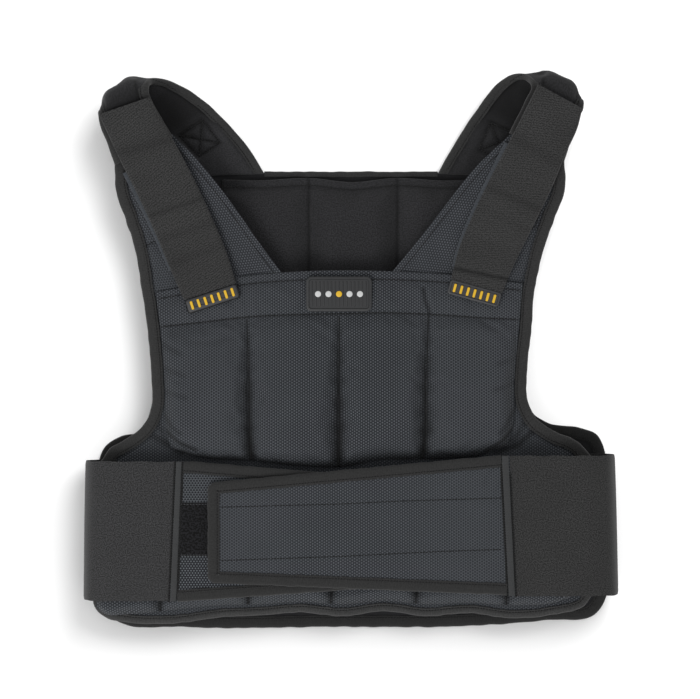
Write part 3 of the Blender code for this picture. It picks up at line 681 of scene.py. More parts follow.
def back_cloth_under(u, v):
    place = back_place(u, v)
    x, y = place.T
    seams = sum(near(x - seam, 7) for seam in QUILTING) + near(y + 106, 7)
    border = near(np.minimum(np.minimum(u, 1 - u), np.minimum(v, 1 - v)) * 500, 16)
    lift = 0.05 + 1.1 * np.clip(seams, 0, 1) + 1.4 * border + 0.12 * (ripple(x, y, 34, 5) + 1.5) * (1 - border)
    return np.stack([x, y, lift], 1), place


back_cloth, *_ = pad_of("back_cloth", 76, 82, back_cloth_face, back_cloth_under)
smooth(back_cloth)
dressed(back_cloth, panel_lining, "back_panel")
back_cloth.data.materials.append(outer_cloth)
for polygon in back_cloth.data.polygons:
    polygon.material_index = int(polygon.normal.z < 0)
laid(back_cloth)

# %% [markdown]
# ## Binding tape
# Every edge is bound: a ribbed tape is folded over it and sewn down through both sides. `tape` sweeps a U-shaped
# section along the edge. The grid runs from the tape's upper end, round the edge, to its lower end. A groove marks the
# seam, and the tape puckers a little between the stitches, more where it goes round a bend.

# %% Folded tape
TAPE = 1.0
TAPE_WIDTH = 10.5
SEAM_INSET = 2.2  # from the tape's inner end to its seam
dark_seams, pale_seams = [], []  # pieces with the lines in plan where their thread runs


def without(rows, direction):
    """The rows without their part along a direction."""
    return rows - direction * (rows * direction).sum(axis=1, keepdims=True)


def level(points, height):
    points = np.asarray(points, float)
    return np.column_stack([points[:, :2], np.full(len(points), height)])


def run_through(*runs, count=60):
    """Runs of points as one dense line."""
    whole = []
    for run in runs:
        for point in flowing(run)(np.linspace(0, 1, count)):
            if not whole or np.linalg.norm(point - whole[-1]) > 0.5:
                whole.append(point)
    return np.array(whole)


def run_of(corners, step=3.0):
    """Straight runs between corners as one dense line."""
    whole = []
    for start, end in zip(corners[:-1], corners[1:]):
        start, end = np.array(start, float), np.array(end, float)
        count = max(int(np.linalg.norm(end - start) / step), 1)
        whole += [start + (end - start) * k / count for k in range(count)]
    return np.array(whole + [np.array(corners[-1], float)])


def beside(edge, distance, side=1):
    """A line beside an edge of points, on its left where side is 1."""
    course = unit(np.gradient(edge[:, :2], axis=0))
    moved = edge.copy()
    moved[:, 0] -= course[:, 1] * distance * side
    moved[:, 1] += course[:, 0] * distance * side
    return moved


def tape(name, node, edge, inside, thick, width=TAPE_WIDTH, ups=None, seed=1, pucker=0.22, material=None):
    """edge and inside are matching points on the edge and further in. ups are the cloth's normals where it turns."""
    rows = [edge, inside] if ups is None else [edge, inside, ups]
    line = flowing(np.column_stack(rows), measured=3)
    length = np.linalg.norm(np.diff(edge, axis=0), axis=1).sum()
    half = thick / 2 + GAP + TAPE
    nose = 1.8
    reach = nose + GAP + TAPE
    flat_share = 0.6
    side_length = width - nose + 1.57 * (half + reach) / 2

    def surface(u, v):
        row = line(v)
        course = unit(line(np.minimum(v + 0.004, 1))[:, :3] - line(np.maximum(v - 0.004, 0))[:, :3])
        inward = row[:, 3:6] - row[:, :3]
        if ups is None:
            inward = unit(without(inward, course))
            up = np.cross(course, inward)
            up *= np.where(up[:, 2:3] < 0, -1, 1)
        else:
            up = unit(row[:, 6:9])
            inward = unit(without(inward, up))
        side = np.abs(2 * u - 1)
        upper = np.where(u < 0.5, 1, -1)
        flat = side > 1 - flat_share
        turn = np.clip(side / (1 - flat_share), 0, 1) * math.pi / 2
        on_flat = nose + (width - nose) * (side - 1 + flat_share) / flat_share
        in_by = np.where(flat, on_flat, nose - reach * np.cos(turn))
        off = np.where(flat, half, half * np.sin(turn))
        off = off - 0.75 * near(in_by - (width - SEAM_INSET), 1.5) - 0.6 * ease((in_by - width + 0.9) / 0.9)
        wave = ripple(v * length, in_by * 0.6, 8, seed) * (upper > 0)
        off = off + pucker * wave * near(in_by - width * 0.5, width * 0.5)
        in_by = in_by + 0.25 * ripple(v * length, v * 0, 17, seed + 1)
        points = row[:, :3] + inward * in_by[:, None] + up * (off * upper)[:, None]
        outward = up * (upper * flat)[:, None] - inward * (1.0 - flat)[:, None]
        return points, np.column_stack([u * 2 * side_length, v * length]), outward

    piece = sheet_of(name, 20, max(int(length / 3.0), 6), surface, 0.8)
    dressed(piece, material or edge_tape, node)
    return piece


# %% [markdown]
# ## The tape round the back panel
# The panel's border is thinner than its middle, so the tape on it stays clear of the floor. It runs from one shoulder
# round the foot to the other, and a short, narrow one closes the neck.

# %% Back bindings
BACK_ARM_LEFT = ((-185, 176), (-189, 130), (-190, 60), (-191, 0), (-195, -50), (-202, -76), (-215, -86), (-233, -90),
                 (-246, -98), (-254, -114))
BACK_ARM_RIGHT = ((185, 176), (188, 130), (184, 60), (178, 0), (177, -40), (186, -67), (200, -76), (232, -81),
                  (250, -88), (258, -106))
BACK_HEM = ((-256, -150), (-256, -220), (-253, -262), (-235, -276), (-172, -281), (-20, -281), (122, -280),
            (203, -274), (249, -268), (260, -250), (260, -200), (259, -150))
RIM_MIDDLE = 2.8
RIM_THICK = 2.4
back_edge = level(run_through(BACK_ARM_LEFT + BACK_HEM + BACK_ARM_RIGHT[::-1], count=300), RIM_MIDDLE)
back_tape = tape("back_tape", "back_binding", back_edge, beside(back_edge, 5), RIM_THICK, seed=3,
                 material=back_edge_tape)
dark_seams.append((back_tape, beside(back_edge, TAPE_WIDTH - SEAM_INSET)))
neck_edge = np.column_stack([np.linspace(-87, 89, 40), np.full(40, 179.0), np.full(40, RIM_MIDDLE)])
tape("neck_tape", "neck_binding", neck_edge, beside(neck_edge, 5, -1), RIM_THICK, width=4.5, seed=4)


# %% [markdown]
# ## Rows of filled pockets
# One function makes all four rows. Its grid has the same number of columns in each pocket, so a seam always lies on a
# line of points. The seams and the underside are held, and the pocket between them is filled out.

# %% Pocket rows
def stepped(share, stops, counts):
    """Shares spread so that a number of mesh rows lies between each two stops."""
    marks = np.concatenate([[0], np.cumsum(counts)]) / sum(counts)
    return np.interp(share, marks, stops)


def on_any(share, stops):
    return np.min(np.abs(np.subtract.outer(share, np.asarray(stops))), axis=1) < 1e-4


def from_seams(share, seams, length):
    """How far a share is from the nearest seam, in millimetres."""
    return np.min(np.abs(np.subtract.outer(share, np.asarray(seams))), axis=1) * length


def gathered_to_seams(share, seams, columns):
    """Shares spread over the pockets, with the mesh denser beside the seams."""
    pocket = np.minimum((share * len(columns)).astype(int), len(columns) - 1)
    within = share * len(columns) - pocket
    within = 0.45 * within + 0.55 * (0.5 - 0.5 * np.cos(math.pi * within))
    seams = np.asarray(seams)
    return seams[pocket] + (seams[pocket + 1] - seams[pocket]) * within


def pocket_row(name, node, edges, base, height, seams, per_pocket, up_stops, up_counts, held_up, fill, material, seam_shade,
               lift=None):
    """fill gives the spare cloth and how far it may move. The argument after the material gives painted shade, darker
    in the seams.
    """
    place = between(*edges)
    spare, cap = fill

    def face(u, v):
        plan = place(u, v)
        return np.column_stack([plan, base + height(u, v)]), plan

    def under(u, v):
        plan = place(u, v)
        return np.column_stack([plan, base + (lift(u, v) if lift else 0.0 * u)]), plan

    columns = [per_pocket] * (len(seams) - 1)
    piece, u, v, upper = pad_of(
        name, sum(columns), sum(up_counts), face, under,
        spread=lambda u, v: (gathered_to_seams(u, seams, columns), stepped(v, up_stops, up_counts)),
    )
    outwards(piece)
    held = ~upper | on_any(u, seams) | on_any(v, held_up)
    fill_out(piece, held, 3.0, spare, cap)
    # painted shade, darker in the seams
    shaded(piece, seam_shade(u, v))
    modified(piece, "SUBSURF", levels=1, render_levels=1)
    smooth(piece, 60)
    return dressed(piece, material, node)


# %% [markdown]
# ## The inner pockets of the back
# Three tall pockets in lining cloth lie between the shoulders. Their hemmed mouths open under the neck. Six smaller
# ones below them hold the rest of the weights, and the front hides those.

# %% Back pockets
UPPER_EDGES = (((-130, -104), (-130, 172)), ((132, -104), (132, 172)), ((-130, -104), (132, -104)),
               ((-130, 172.5), (-86, 171.8), (-42, 174.2), (2, 169.8), (48, 174.2), (90, 171.6), (132, 172.5)))
UPPER_SEAMS = (0.0, 0.336, 0.679, 1.0)
MOUTH = 0.972
LOWER_BACK_EDGES = (((-214, -264), (-214, -108)), ((216, -260), (216, -108)), ((-214, -264), (0, -267), (216, -260)),
                    ((-214, -108), (216, -108)))
LOWER_BACK_SEAMS = (0.0, 0.17, 0.34, 0.5, 0.67, 0.84, 1.0)


def upper_height(u, v):
    beside = from_seams(u, UPPER_SEAMS, 262)
    filled = (BACK_FILL - 4.0 - HEM_THICK) * blunt(rounded(beside, np.minimum(v, MOUTH - v) * 276, 12), 24, 2.0)
    gape = 5.0 * blunt(beside, 26, 2.0) * ease((v - MOUTH + 0.02) / 0.05)
    return HEM_THICK + np.where(v < MOUTH, filled, 0) + gape


# Painted shade: the lining is darker along the seams and at the mouth's hem.
def upper_seam_shade(u, v):
    return 1 - 0.6 * near(from_seams(u, UPPER_SEAMS, 262), 2.8) - 0.3 * near((v - MOUTH) * 276, 2.0)


def lower_back_height(u, v):
    beside = from_seams(u, LOWER_BACK_SEAMS, 430)
    return HEM_THICK + (BACK_FILL - 3 - HEM_THICK) * blunt(rounded(beside, np.minimum(v, 1 - v) * 155, 12), 18)


def even(u, v):
    return 1.0 + 0 * u


back_inner = pocket_row(
    "back_inner_pockets", "back_pockets_upper", UPPER_EDGES, BACK_TOP + GAP, upper_height, UPPER_SEAMS, 18,
    (0.0, 0.5, MOUTH, 1.0), (16, 27, 4), (0.0, MOUTH, 1.0), (0.02, 1.6), lining_cloth, upper_seam_shade,
)
back_low = pocket_row(
    "back_low_pockets", "back_pockets_lower", LOWER_BACK_EDGES, BACK_TOP + GAP, lower_back_height, LOWER_BACK_SEAMS, 10,
    (0.0, 1.0), (20,), (0.0, 1.0), (0.02, 2.0), lining_cloth, even,
)


# %% [markdown]
# ## The front panel's base
# It is the cloth that the chest and the lower pockets are sewn to. Only its margins show, beside the pockets.

# %% Front base
FRONT_ARM_LEFT = ((-206, 49), (-201, 9), (-198, -30), (-199, -62), (-207, -78), (-222, -90), (-240, -101),
                  (-252, -118))
FRONT_ARM_RIGHT = ((184, 59), (181, 20), (177, -20), (178, -55), (186, -70), (202, -82), (228, -94), (244, -112))
FRONT_HEM = ((-255, -160), (-257, -238), (-255, -259), (-245, -268.5), (-225, -273), (-175, -274), (-130, -268),
             (-89, -266), (-50, -263), (-8, -267), (35, -262), (75, -267), (120, -264), (163, -269), (205, -265), (235, -256),
             (246, -235), (247, -160))
front_edges = (
    FRONT_HEM[3:0:-1] + FRONT_HEM[:1] + FRONT_ARM_LEFT[::-1] + ((-206.8, 54),),
    FRONT_HEM[15:] + FRONT_ARM_RIGHT[::-1] + ((185, 64),),
    FRONT_HEM[3:16],
    ((-206.8, 54), (-150, 62), (-90, 69), (-50, 72), (45, 72), (97, 69), (150, 66), (185, 64)),
)
front_place = between(*front_edges)


def front_face(u, v):
    plan = front_place(u, v)
    return level(plan, FRONT_TOP - 0.1) - [0, 0, 1] * (0.2 * (ripple(*plan.T, 40, 8)[:, None] + 1.5)), plan


def front_under(u, v):
    plan = front_place(u, v)
    return level(plan, FRONT_FLOOR) + [0, 0, 1] * (0.2 * (ripple(*plan.T, 40, 9)[:, None] + 1.5)), plan


front_cloth, *_ = pad_of("front_cloth", 110, 90, front_face, front_under)
outwards(front_cloth)
smooth(front_cloth)
shaded(front_cloth, np.ones(len(front_cloth.data.vertices)))
dressed(front_cloth, base_cloth, "front_panel")
laid(front_cloth)


# %% [markdown]
# ## The chest
# One layer of outer cloth makes the hem, the soft yoke below it, and four filled pockets. The pockets bulge between
# seams that sink into valleys, and the valleys end in dark points at the foot. The valleys are also painted darker, as
# shade.

# %% Chest
CHEST_LEFT = ((-180, -99), (-184, -82), (-186, -30), (-189, 10), (-195, 57))
CHEST_RIGHT = ((158, -97), (163, -80), (165, -30), (169, 15), (173.5, 66))
CHEST_FOOT = ((-180, -99), (-150, -108), (-97, -112), (-50, -117), (-9, -118), (30, -111), (76, -110), (125, -107),
              (158, -97))
CHEST_HEM = ((-195, 57), (-150, 66), (-90, 75), (-50, 78), (45, 78), (97, 75), (150, 69), (173.5, 66))
CHEST_SEAMS = (0.0, 0.243, 0.498, 0.745, 1.0)
YOKE_SEAM = 0.775
HEM_STITCH = 0.957


CHEST_WIDE = 352.0
CHEST_TALL = 182.0


def chest_height(u, v):
    beside = from_seams(u, CHEST_SEAMS, CHEST_WIDE)
    foot, head = v * CHEST_TALL, (YOKE_SEAM - v) * CHEST_TALL
    sunk = ease(head / 85)  # the filling has sunk towards the foot
    corner = np.where(np.abs(u - 0.5) < 0.38, 13, 6)
    pinched = beside + 1.1 * ripple(v * CHEST_TALL, u * 30, 12, 78) * near(beside, 12) * ease(beside / 3)
    pocket = (CHEST_FILL - 3.0 - HEM_THICK) * blunt(rounded(pinched, foot, corner), 9 + 8 * sunk, 2.4)
    pocket = pocket * (0.3 + 0.7 * sunk) * blunt(head, 16, 1.6)
    yoke = (YOKE_FILL - HEM_THICK - 0.4) * blunt(np.minimum(-head, (HEM_STITCH - v) * CHEST_TALL), 12, 2.0)
    return HEM_THICK + np.where(v < YOKE_SEAM, pocket, yoke) * blunt(np.minimum(u, 1 - u) * CHEST_WIDE, 10)


# Painted shade: darker in the valleys, most towards the foot, and along the yoke seam and the hem stitch.
def chest_seam_shade(u, v):
    low = 1 - np.clip(v / YOKE_SEAM, 0, 1)
    ragged = 1 + 0.25 * ripple(v * CHEST_TALL, u * 40, 11, 77)
    valley = near(from_seams(u, CHEST_SEAMS[1:4], CHEST_WIDE), (3.8 + 4.5 * low**2) * ragged) * (v < YOKE_SEAM)
    cross = near((v - YOKE_SEAM) * CHEST_TALL, 1.8)
    hem = near((v - HEM_STITCH) * CHEST_TALL, 1.6)
    return 1 - np.clip((0.3 + 0.58 * low) * valley + 0.45 * cross + 0.25 * hem, 0, 0.85)


chest = pocket_row(
    "chest_cloth", "chest_pockets", (CHEST_LEFT, CHEST_RIGHT, CHEST_FOOT, CHEST_HEM), FRONT_TOP + GAP, chest_height,
    CHEST_SEAMS, 27, (0.0, 0.06, 0.4, YOKE_SEAM - 0.05, YOKE_SEAM, HEM_STITCH, 1.0), (6, 14, 19, 5, 12, 4),
    (0.0, YOKE_SEAM, HEM_STITCH, 1.0), (0.018, 1.5), pocket_cloth, chest_seam_shade,
)


# %% [markdown]
# ## The lower pockets
# Six pockets run in a row below the chest. The belt covers most of them and only their gathered foot shows.

# %% Lower pockets
LOWER_EDGES = (
    ((-255, -258), (-252, -228), (-243, -180), (-240, -128)),
    ((228, -246), (234, -190), (232, -126)),
    ((-255, -258), (-246, -265.5), (-222, -266), (-180, -262), (-130, -257), (-89, -256), (-50, -253.5),
     (-8, -256), (35, -252.5), (75, -256), (120, -254.5), (163, -257), (205, -254), (228, -246)),
    ((-240, -128), (-120, -122), (0, -122), (120, -122), (232, -126)),
)
LOWER_SEAMS = (0.0, 0.14, 0.32, 0.49, 0.665, 0.85, 1.0)


def lower_height(u, v):
    beside = from_seams(u, LOWER_SEAMS, 470)
    inset = rounded(beside, np.minimum(v, 1 - v) * 130, 9)
    return HEM_THICK + (LOWER_FILL - 3.0 - HEM_THICK) * blunt(inset, 11 + 5 * ease(v / 0.3), 2.6)


def over_tape(u, v):
    """The left corner lies over the tape of the panel's foot."""
    return 1.6 * ease(1.4 - np.hypot(u * 470, v * 260) / 60)


# Painted shade: darker along the seams between the pockets.
def lower_seam_shade(u, v):
    return 1 - 0.85 * near(from_seams(u, LOWER_SEAMS[1:6], 470), 3.6)


lower = pocket_row(
    "lower_cloth", "lower_pockets", LOWER_EDGES, FRONT_TOP + GAP, lower_height, LOWER_SEAMS, 20, (0.0, 0.1, 0.3, 1.0),
    (8, 10, 13), (0.0, 1.0), (0.02, 1.2), pocket_cloth, lower_seam_shade, over_tape,
)


# %% [markdown]
# ## Creases
# After the filling, single folds are pressed in one by one. Each is a line in plan with a reach and a depth, and only
# what faces up moves. A negative depth makes a ridge. A deep fold is also painted darker, as shade, and a ridge a
# little lighter, as a painted highlight.

# %% Pressing lines in
def distance_to(x, y, line):
    """How far points are from a line of points, in plan."""
    spots = np.column_stack([x, y])
    best = np.full(len(spots), 1e9)
    line = np.asarray(line, float)[:, :2]
    for start, end in zip(line[:-1], line[1:]):
        course = end - start
        share = np.clip((spots - start) @ course / (course @ course), 0, 1)
        best = np.minimum(best, np.linalg.norm(spots - start - share[:, None] * course, axis=1))
    return best


def creased(piece, rows):
    points = points_of(piece)
    up = np.clip(normals_of(piece)[:, 2], 0, 1)
    x, y = (points / MM + CENTRE).T[:2]
    layer = piece.data.attributes["shade"].data
    shade = np.empty(len(points))
    layer.foreach_get("value", shade)
    for line, reach, depth in rows:
        close = near(distance_to(x, y, line), reach)
        points[:, 2] -= depth * close * up * MM
        # painted shade in a fold, and a painted highlight on a ridge
        shade *= 1 - np.clip(0.26 * depth, -0.06, 0.6) * close
    layer.foreach_set("value", shade)
    move_points(piece, points)


creased(chest, [
    (((74, 61), (75.5, 50), (80, 36)), 3.2, 1.8), (((79, 61), (81, 50), (85, 38)), 5.0, -0.8),
    (((163, -80), (152, -92), (136, -102)), 3.6, 2.6), (((163, -62), (157, -76), (150, -84)), 4.0, 1.6),
    (((158, -74), (148, -88)), 4.0, -1.2), (((-184, -82), (-170, -94), (-154, -101)), 3.6, 2.4),
    (((-186, -66), (-178, -78), (-170, -84)), 4.0, 1.6), (((-180, -74), (-167, -88)), 4.0, -1.0),
    (((-189, 6), (-170, -4)), 5.0, 0.9), (((-188, -18), (-166, -26)), 5.0, 0.9),
    (((-187, -42), (-164, -48)), 5.0, 1.0),
    (((168, -8), (150, -14)), 5.0, 0.8), (((166, -34), (146, -40)), 5.0, 0.9),
])
creased(front_cloth, [
    (((184, -82), (168, -97), (148, -104)), 4.5, 2.4), (((178, -68), (171, -82), (162, -93)), 4.0, 1.8),
    (((-204, -82), (-188, -93), (-168, -104)), 4.5, 2.4), (((-198, -66), (-190, -80), (-182, -94)), 4.0, 1.8),
])

# %% [markdown]
# ## The wings
# Two cloth wings run up from the chest and over the shoulder pads. At the neck their edge is folded in and sewn down,
# and a seam crosses each of them just above the chest.

# %% Wings
WING_LEFT_ARM = ((-207, 54), (-214, 98), (-224, 131), (-233, 158), (-234, 182))
WING_LEFT_NECK = ((-66, 73), (-90, 105), (-119, 146.5), (-151, 187), (-178, 215))
WING_RIGHT_ARM = ((185, 64), (193, 100), (204, 132), (214, 160), (213, 186))
WING_RIGHT_NECK = ((40, 75), (60, 98.5), (91, 138), (126, 182), (163, 217))
WING_RISE = 10.0
HEM_FOLD = 7.0


def wing_level(y):
    return FRONT_TOP + WING_RISE * ease((y - 80) / 125)


WING_SEAMS = {"left": ((-211, 101), (-192, 110)), "right": ((194, 146), (185, 121))}
PATCHED = (((189, 143), (180, 119)), ((191.5, 144), (182.5, 120)), ((196.5, 144), (188, 120)))


def wing(word, arm, neck, seed):
    left, right = (arm, neck) if word == "left" else (neck, arm)
    place = between(left, right, (left[0], right[0]), (left[-1], right[-1]))

    def face(u, v):
        plan = place(u, v)
        x, y = plan.T
        fold = 0.9 * (1 - ease((distance_to(x, y, neck) - HEM_FOLD) / 1.4))
        seam = 1.4 * near(distance_to(x, y, WING_SEAMS[word]), 3.5)
        z = wing_level(y) - 0.1 + fold - seam + 0.45 * ripple(x, y, 33, seed)
        lean = 0.64 if word == "left" else -0.64
        return np.column_stack([plan, z]), np.column_stack([0.77 * x + lean * y, 0.77 * y - lean * x])

    def under(u, v):
        plan = place(u, v)
        return np.column_stack([plan, wing_level(plan[:, 1]) - CLOTH]), plan

    piece, *_ = pad_of(f"wing_cloth_{word}", 70, 84, face, under)
    outwards(piece)
    smooth(piece)
    shaded(piece, np.ones(len(piece.data.vertices)))
    dressed(piece, base_cloth, f"front_wing_{word}")
    laid(piece)
    dark_seams.append((piece, run_of(WING_SEAMS[word])))
    neck_line = flowing(neck)(np.linspace(0, 1, 60))
    dark_seams.append((piece, beside(neck_line, HEM_FOLD - 0.8, 1 if word == "left" else -1)))
    return piece


wing_left = wing("left", WING_LEFT_ARM, WING_LEFT_NECK, 21)
wing_right = wing("right", WING_RIGHT_ARM, WING_RIGHT_NECK, 22)

# %% [markdown]
# ## The tape round the front
# On each side one tape runs from the top of the wing down the armhole to the side, and a narrower one binds the foot.

# %% Front bindings
FRONT_MIDDLE = FRONT_FLOOR + CLOTH / 2
WING_TIPS = {"left": (-233.6, 189), "right": (212.2, 193)}  # the tape goes on under the shoulder pad
for word, wing_arm, front_arm, side, seed in (
    ("left", WING_LEFT_ARM, FRONT_ARM_LEFT, 1, 31), ("right", WING_RIGHT_ARM, FRONT_ARM_RIGHT, -1, 32),
):
    plan = run_through((WING_TIPS[word],) + wing_arm[::-1] + front_arm, count=160)
    edge = np.column_stack([plan, wing_level(plan[:, 1]) - CLOTH / 2])
    arm_tape = tape(f"arm_tape_{word}", f"front_binding_{word}", edge, beside(edge, 5, side), CLOTH, seed=seed)
    dark_seams.append((arm_tape, beside(edge, TAPE_WIDTH - SEAM_INSET, side)))
    for piece in (front_cloth, wing_left if word == "left" else wing_right):
        # A groove beside the tape, also painted darker as shade.
        creased(piece, [(beside(edge, TAPE_WIDTH + 0.5, side), 2.6, 1.3)])
foot_edge = run_through(FRONT_HEM, count=220)
foot_edge = level(foot_edge[foot_edge[:, 1] < -240], FRONT_MIDDLE)
foot_tape = tape("foot_tape", "front_binding_bottom", foot_edge, beside(foot_edge, 5), CLOTH, width=7, seed=33,
                 material=foot_edge_tape)
dark_seams.append((foot_tape, beside(foot_edge, 7 - SEAM_INSET)))


# %% [markdown]
# ## The shoulder pads
# A pad is a long cushion that grows from the back panel, stands up at the shoulder, and folds over onto the wing. Each
# row of the table gives its two edges, its height, how far it has turned over, how thick it is, and how far its middle
# bulges. It is filled out like the pockets, and then its quilting is pressed in: a square with its diagonals.

# %% Shoulder pads
PAD_LEFT = (
    (-88.0, 177.6, -185.0, 174.6, 5.7, 0, 4.0, 0), (-104, 203, -198, 185, 8.0, 0, 9.0, 0),
    (-124, 227, -211, 195, 11.5, 0, 12.0, 0), (-146, 248, -224, 205, 14.5, 3, 13.0, 0),
    (-166, 262, -234, 215, 19.5, 14, 13.0, 1), (-185, 270, -245, 226, 28.5, 48, 12.5, 5),
    (-199, 269, -250.5, 234, 40.0, 92, 12.0, 9), (-202, 263, -250.5, 234.5, 49.5, 140, 12.0, 8),
    (-202, 256, -250, 230.5, 52.5, 184, 12.0, 5), (-199, 247, -247.5, 221, 50.5, 192, 10.5, 1),
    (-190, 231, -241, 205.5, 49.7, 182, 7.5, 0), (-178, 211, -234, 184, 49.4, 180, 4.6, 0),
)
PAD_RIGHT = (
    (90.0, 177.6, 185.0, 174.6, 5.7, 0, 4.0, 0), (105, 204, 197, 186, 8.0, 0, 9.0, 0),
    (120, 228, 207, 197, 11.5, 0, 12.0, 0), (134, 248, 216, 209, 14.5, 3, 13.0, 0),
    (148.5, 266, 223, 220, 19.5, 14, 13.0, 1), (163, 275, 229.5, 234, 28.5, 48, 12.5, 5),
    (177, 272, 232, 246, 40.0, 92, 12.0, 9), (181.5, 265, 232.5, 245, 49.5, 140, 12.0, 8),
    (182, 260, 231.5, 240, 52.5, 184, 12.0, 4), (178, 251, 226.5, 231, 50.5, 192, 10.5, 1),
    (169, 233, 221, 213, 49.7, 182, 7.5, 0), (160, 215, 213, 188, 49.4, 180, 4.6, 0),
)
PAD_MARGIN = 7.0
PAD_TAPE = 9.0
PAD_LONG = 215.0
# Lines by the strap's end where the pad tapes are painted darker, as shade.
UNDER_STRAP_SHADE = {"left": ((-195, 252), (-186, 232), (-175, 211)), "right": ((183, 261), (173, 241), (163, 221))}
QUILT_LEFT = ((-149, 232), (-132, 209), (-153, 195), (-173, 216))
QUILT_RIGHT = ((142, 230), (131, 202), (158, 190), (172, 216))


def pad_middle(rows, side):
    line = flowing(rows, measured=5)

    def at(u, v):
        row = line(v)
        neck = np.column_stack([row[:, 0], row[:, 1], row[:, 4]])
        arm = np.column_stack([row[:, 2], row[:, 3], row[:, 4]])
        across = unit(arm - neck)
        outward = np.column_stack([-across[:, 1], across[:, 0], 0 * u]) * side
        lean = np.radians(row[:, 5])[:, None]
        normal = np.array([0, 0, 1.0]) * np.cos(lean) - outward * np.sin(lean)
        half = np.linalg.norm(arm - neck, axis=1) / 2
        inset = np.minimum(u, 1 - u) * 2 * half
        plump = blunt(inset - PAD_MARGIN, 13, 2.0)
        bulge = 1.2 * row[:, 7] * blunt(inset, 24, 2.2)
        middle = neck + (arm - neck) * u[:, None] + outward * bulge[:, None]
        thick = CLOTH + np.maximum(row[:, 6] - 1.5 - CLOTH, 0) * plump
        return middle, normal, thick, np.column_stack([(u - 0.5) * 2 * half, v * PAD_LONG])

    return at


def shoulder_pad(word, rows, side, quilt, light, tuck_shade, seed):
    at = pad_middle(rows, side)

    def inner(u, v):
        middle, normal, thick, pattern = at(u, v)
        return middle + normal * (thick / 2)[:, None], pattern

    def outer(u, v):
        middle, normal, thick, pattern = at(u, v)
        return middle - normal * (thick / 2)[:, None], pattern

    piece, u, v, upper = pad_of(f"pad_cloth_{word}", 34, 84, inner, outer)
    outwards(piece)
    half = np.linalg.norm(pad_middle(rows, side)(0 * u, v)[0] - pad_middle(rows, side)(0 * u + 1, v)[0], axis=1) / 2
    inset = np.minimum(u, 1 - u) * 2 * half
    fill_out(piece, (inset < PAD_MARGIN) | (v < 0.04) | (v > 0.97), 3.0, 0.03, 1.8)
    middle, normal, _, _ = at(u, v)
    points = points_of(piece)
    x, y = (points / MM + CENTRE).T[:2]
    lines = [quilt + quilt[:1], (quilt[0], quilt[2]), (quilt[1], quilt[3])]
    on_box = np.min([distance_to(x, y, line) for line in lines], axis=0)
    inside = upper & (v < 0.5)
    points -= normal * (3.0 * near(on_box, 5.0) * inside * MM)[:, None]
    move_points(piece, points)
    # Painted shade: the inner face is darker inside the fold, along the quilting and beside the tapes, and the outer
    # face where the strap's end lies over it. The light factor scales how lit the whole pad is painted.
    fold = np.clip((v - 0.22) / 0.14, 0, 1) * np.clip((0.62 - v) / 0.1, 0, 1) * upper
    outer_fold_shade = near(v - 0.755, 0.075) * ~upper
    tape_side_shade = near(inset - PAD_TAPE - 0.4, 2.4)
    dark = 0.7 * fold + 0.55 * near(on_box, 2.8) * inside + tuck_shade * outer_fold_shade + 0.4 * tape_side_shade
    shaded(piece, light * (1 - np.clip(dark, 0, 0.8)))
    modified(piece, "SUBSURF", levels=1, render_levels=1)
    smooth(piece, 70)
    dressed(piece, pad_cloth, f"shoulder_pad_{word}")
    quilt_seams.extend((piece, run_of(line, 2.0)) for line in lines)
    share = np.linspace(0.003, 1, 110)
    for edge_name, near_share, inner_share in (("neck", 0.0, 0.05), ("arm", 1.0, 0.95)):
        edge, up, _, _ = at(np.full(110, near_share), share)
        inside, _, _, _ = at(np.full(110, inner_share), share)
        bound = tape(f"pad_tape_{word}_{edge_name}", f"pad_binding_{word}_{edge_name}", edge, inside, CLOTH + 2 * GAP,
                     width=PAD_TAPE, ups=up, seed=seed, pucker=0.3, material=pad_edge_tape)
        x, y, z = (points_of(bound) / MM + CENTRE).T
        # Painted shade on the tape where it goes under the strap's end.
        shaded(bound, 1 - 0.6 * near(distance_to(x, y, UNDER_STRAP_SHADE[word]), 9) * (z > 40))
        seam_at = edge + unit(inside - edge) * (PAD_TAPE - SEAM_INSET)
        dark_seams.extend((bound, seam_at[first:last]) for first, last in ((2, 44), (54, 84)))
        seed += 1
    return piece


quilt_seams = []
# Painted light and shade: the left pad is painted lighter and the right one darker, as the vest is lit more from the
# left.
pad_left = shoulder_pad("left", PAD_LEFT, -1, QUILT_LEFT, 1.17, 0.7, 41)
pad_right = shoulder_pad("right", PAD_RIGHT, 1, QUILT_RIGHT, 0.74, 0.25, 43)


# %% [markdown]
# ## The straps
# Wide webbing lies from each folded shoulder down to a rubber tab. Webbing is stiff and thin, so it is modelled
# directly, with the soft creases that it has from being folded. Under it a raised band of coarser cloth shows as a
# narrow pale ridge on its left side.

# %% Straps and their backing
STRAP_LEFT = ((-250, 233, -200, 250, 59.3), (-241, 214, -189, 230, 56.2), (-232, 194, -179, 213, 53.4),
              (-212, 154, -158, 174, 49.4), (-193, 112, -137, 129, 44.2), (-179, 78, -123, 95, 41.7),
              (-166, 49, -114, 66, 42.2))
STRAP_RIGHT = ((187, 263, 231, 239, 59.5), (177, 243, 226, 219, 56.2), (167, 223, 217, 199, 53.4),
               (147, 184, 201, 160, 50.4), (126, 141, 181, 119, 46.0), (109, 100, 164, 84, 41.8),
               (101, 70, 152, 56, 42.2))
STRAP_THICK = 3.0
STRAP_LONG = 203.0
RIDGE_NARROWER = 3.0
BACKING_THICK = 3.0


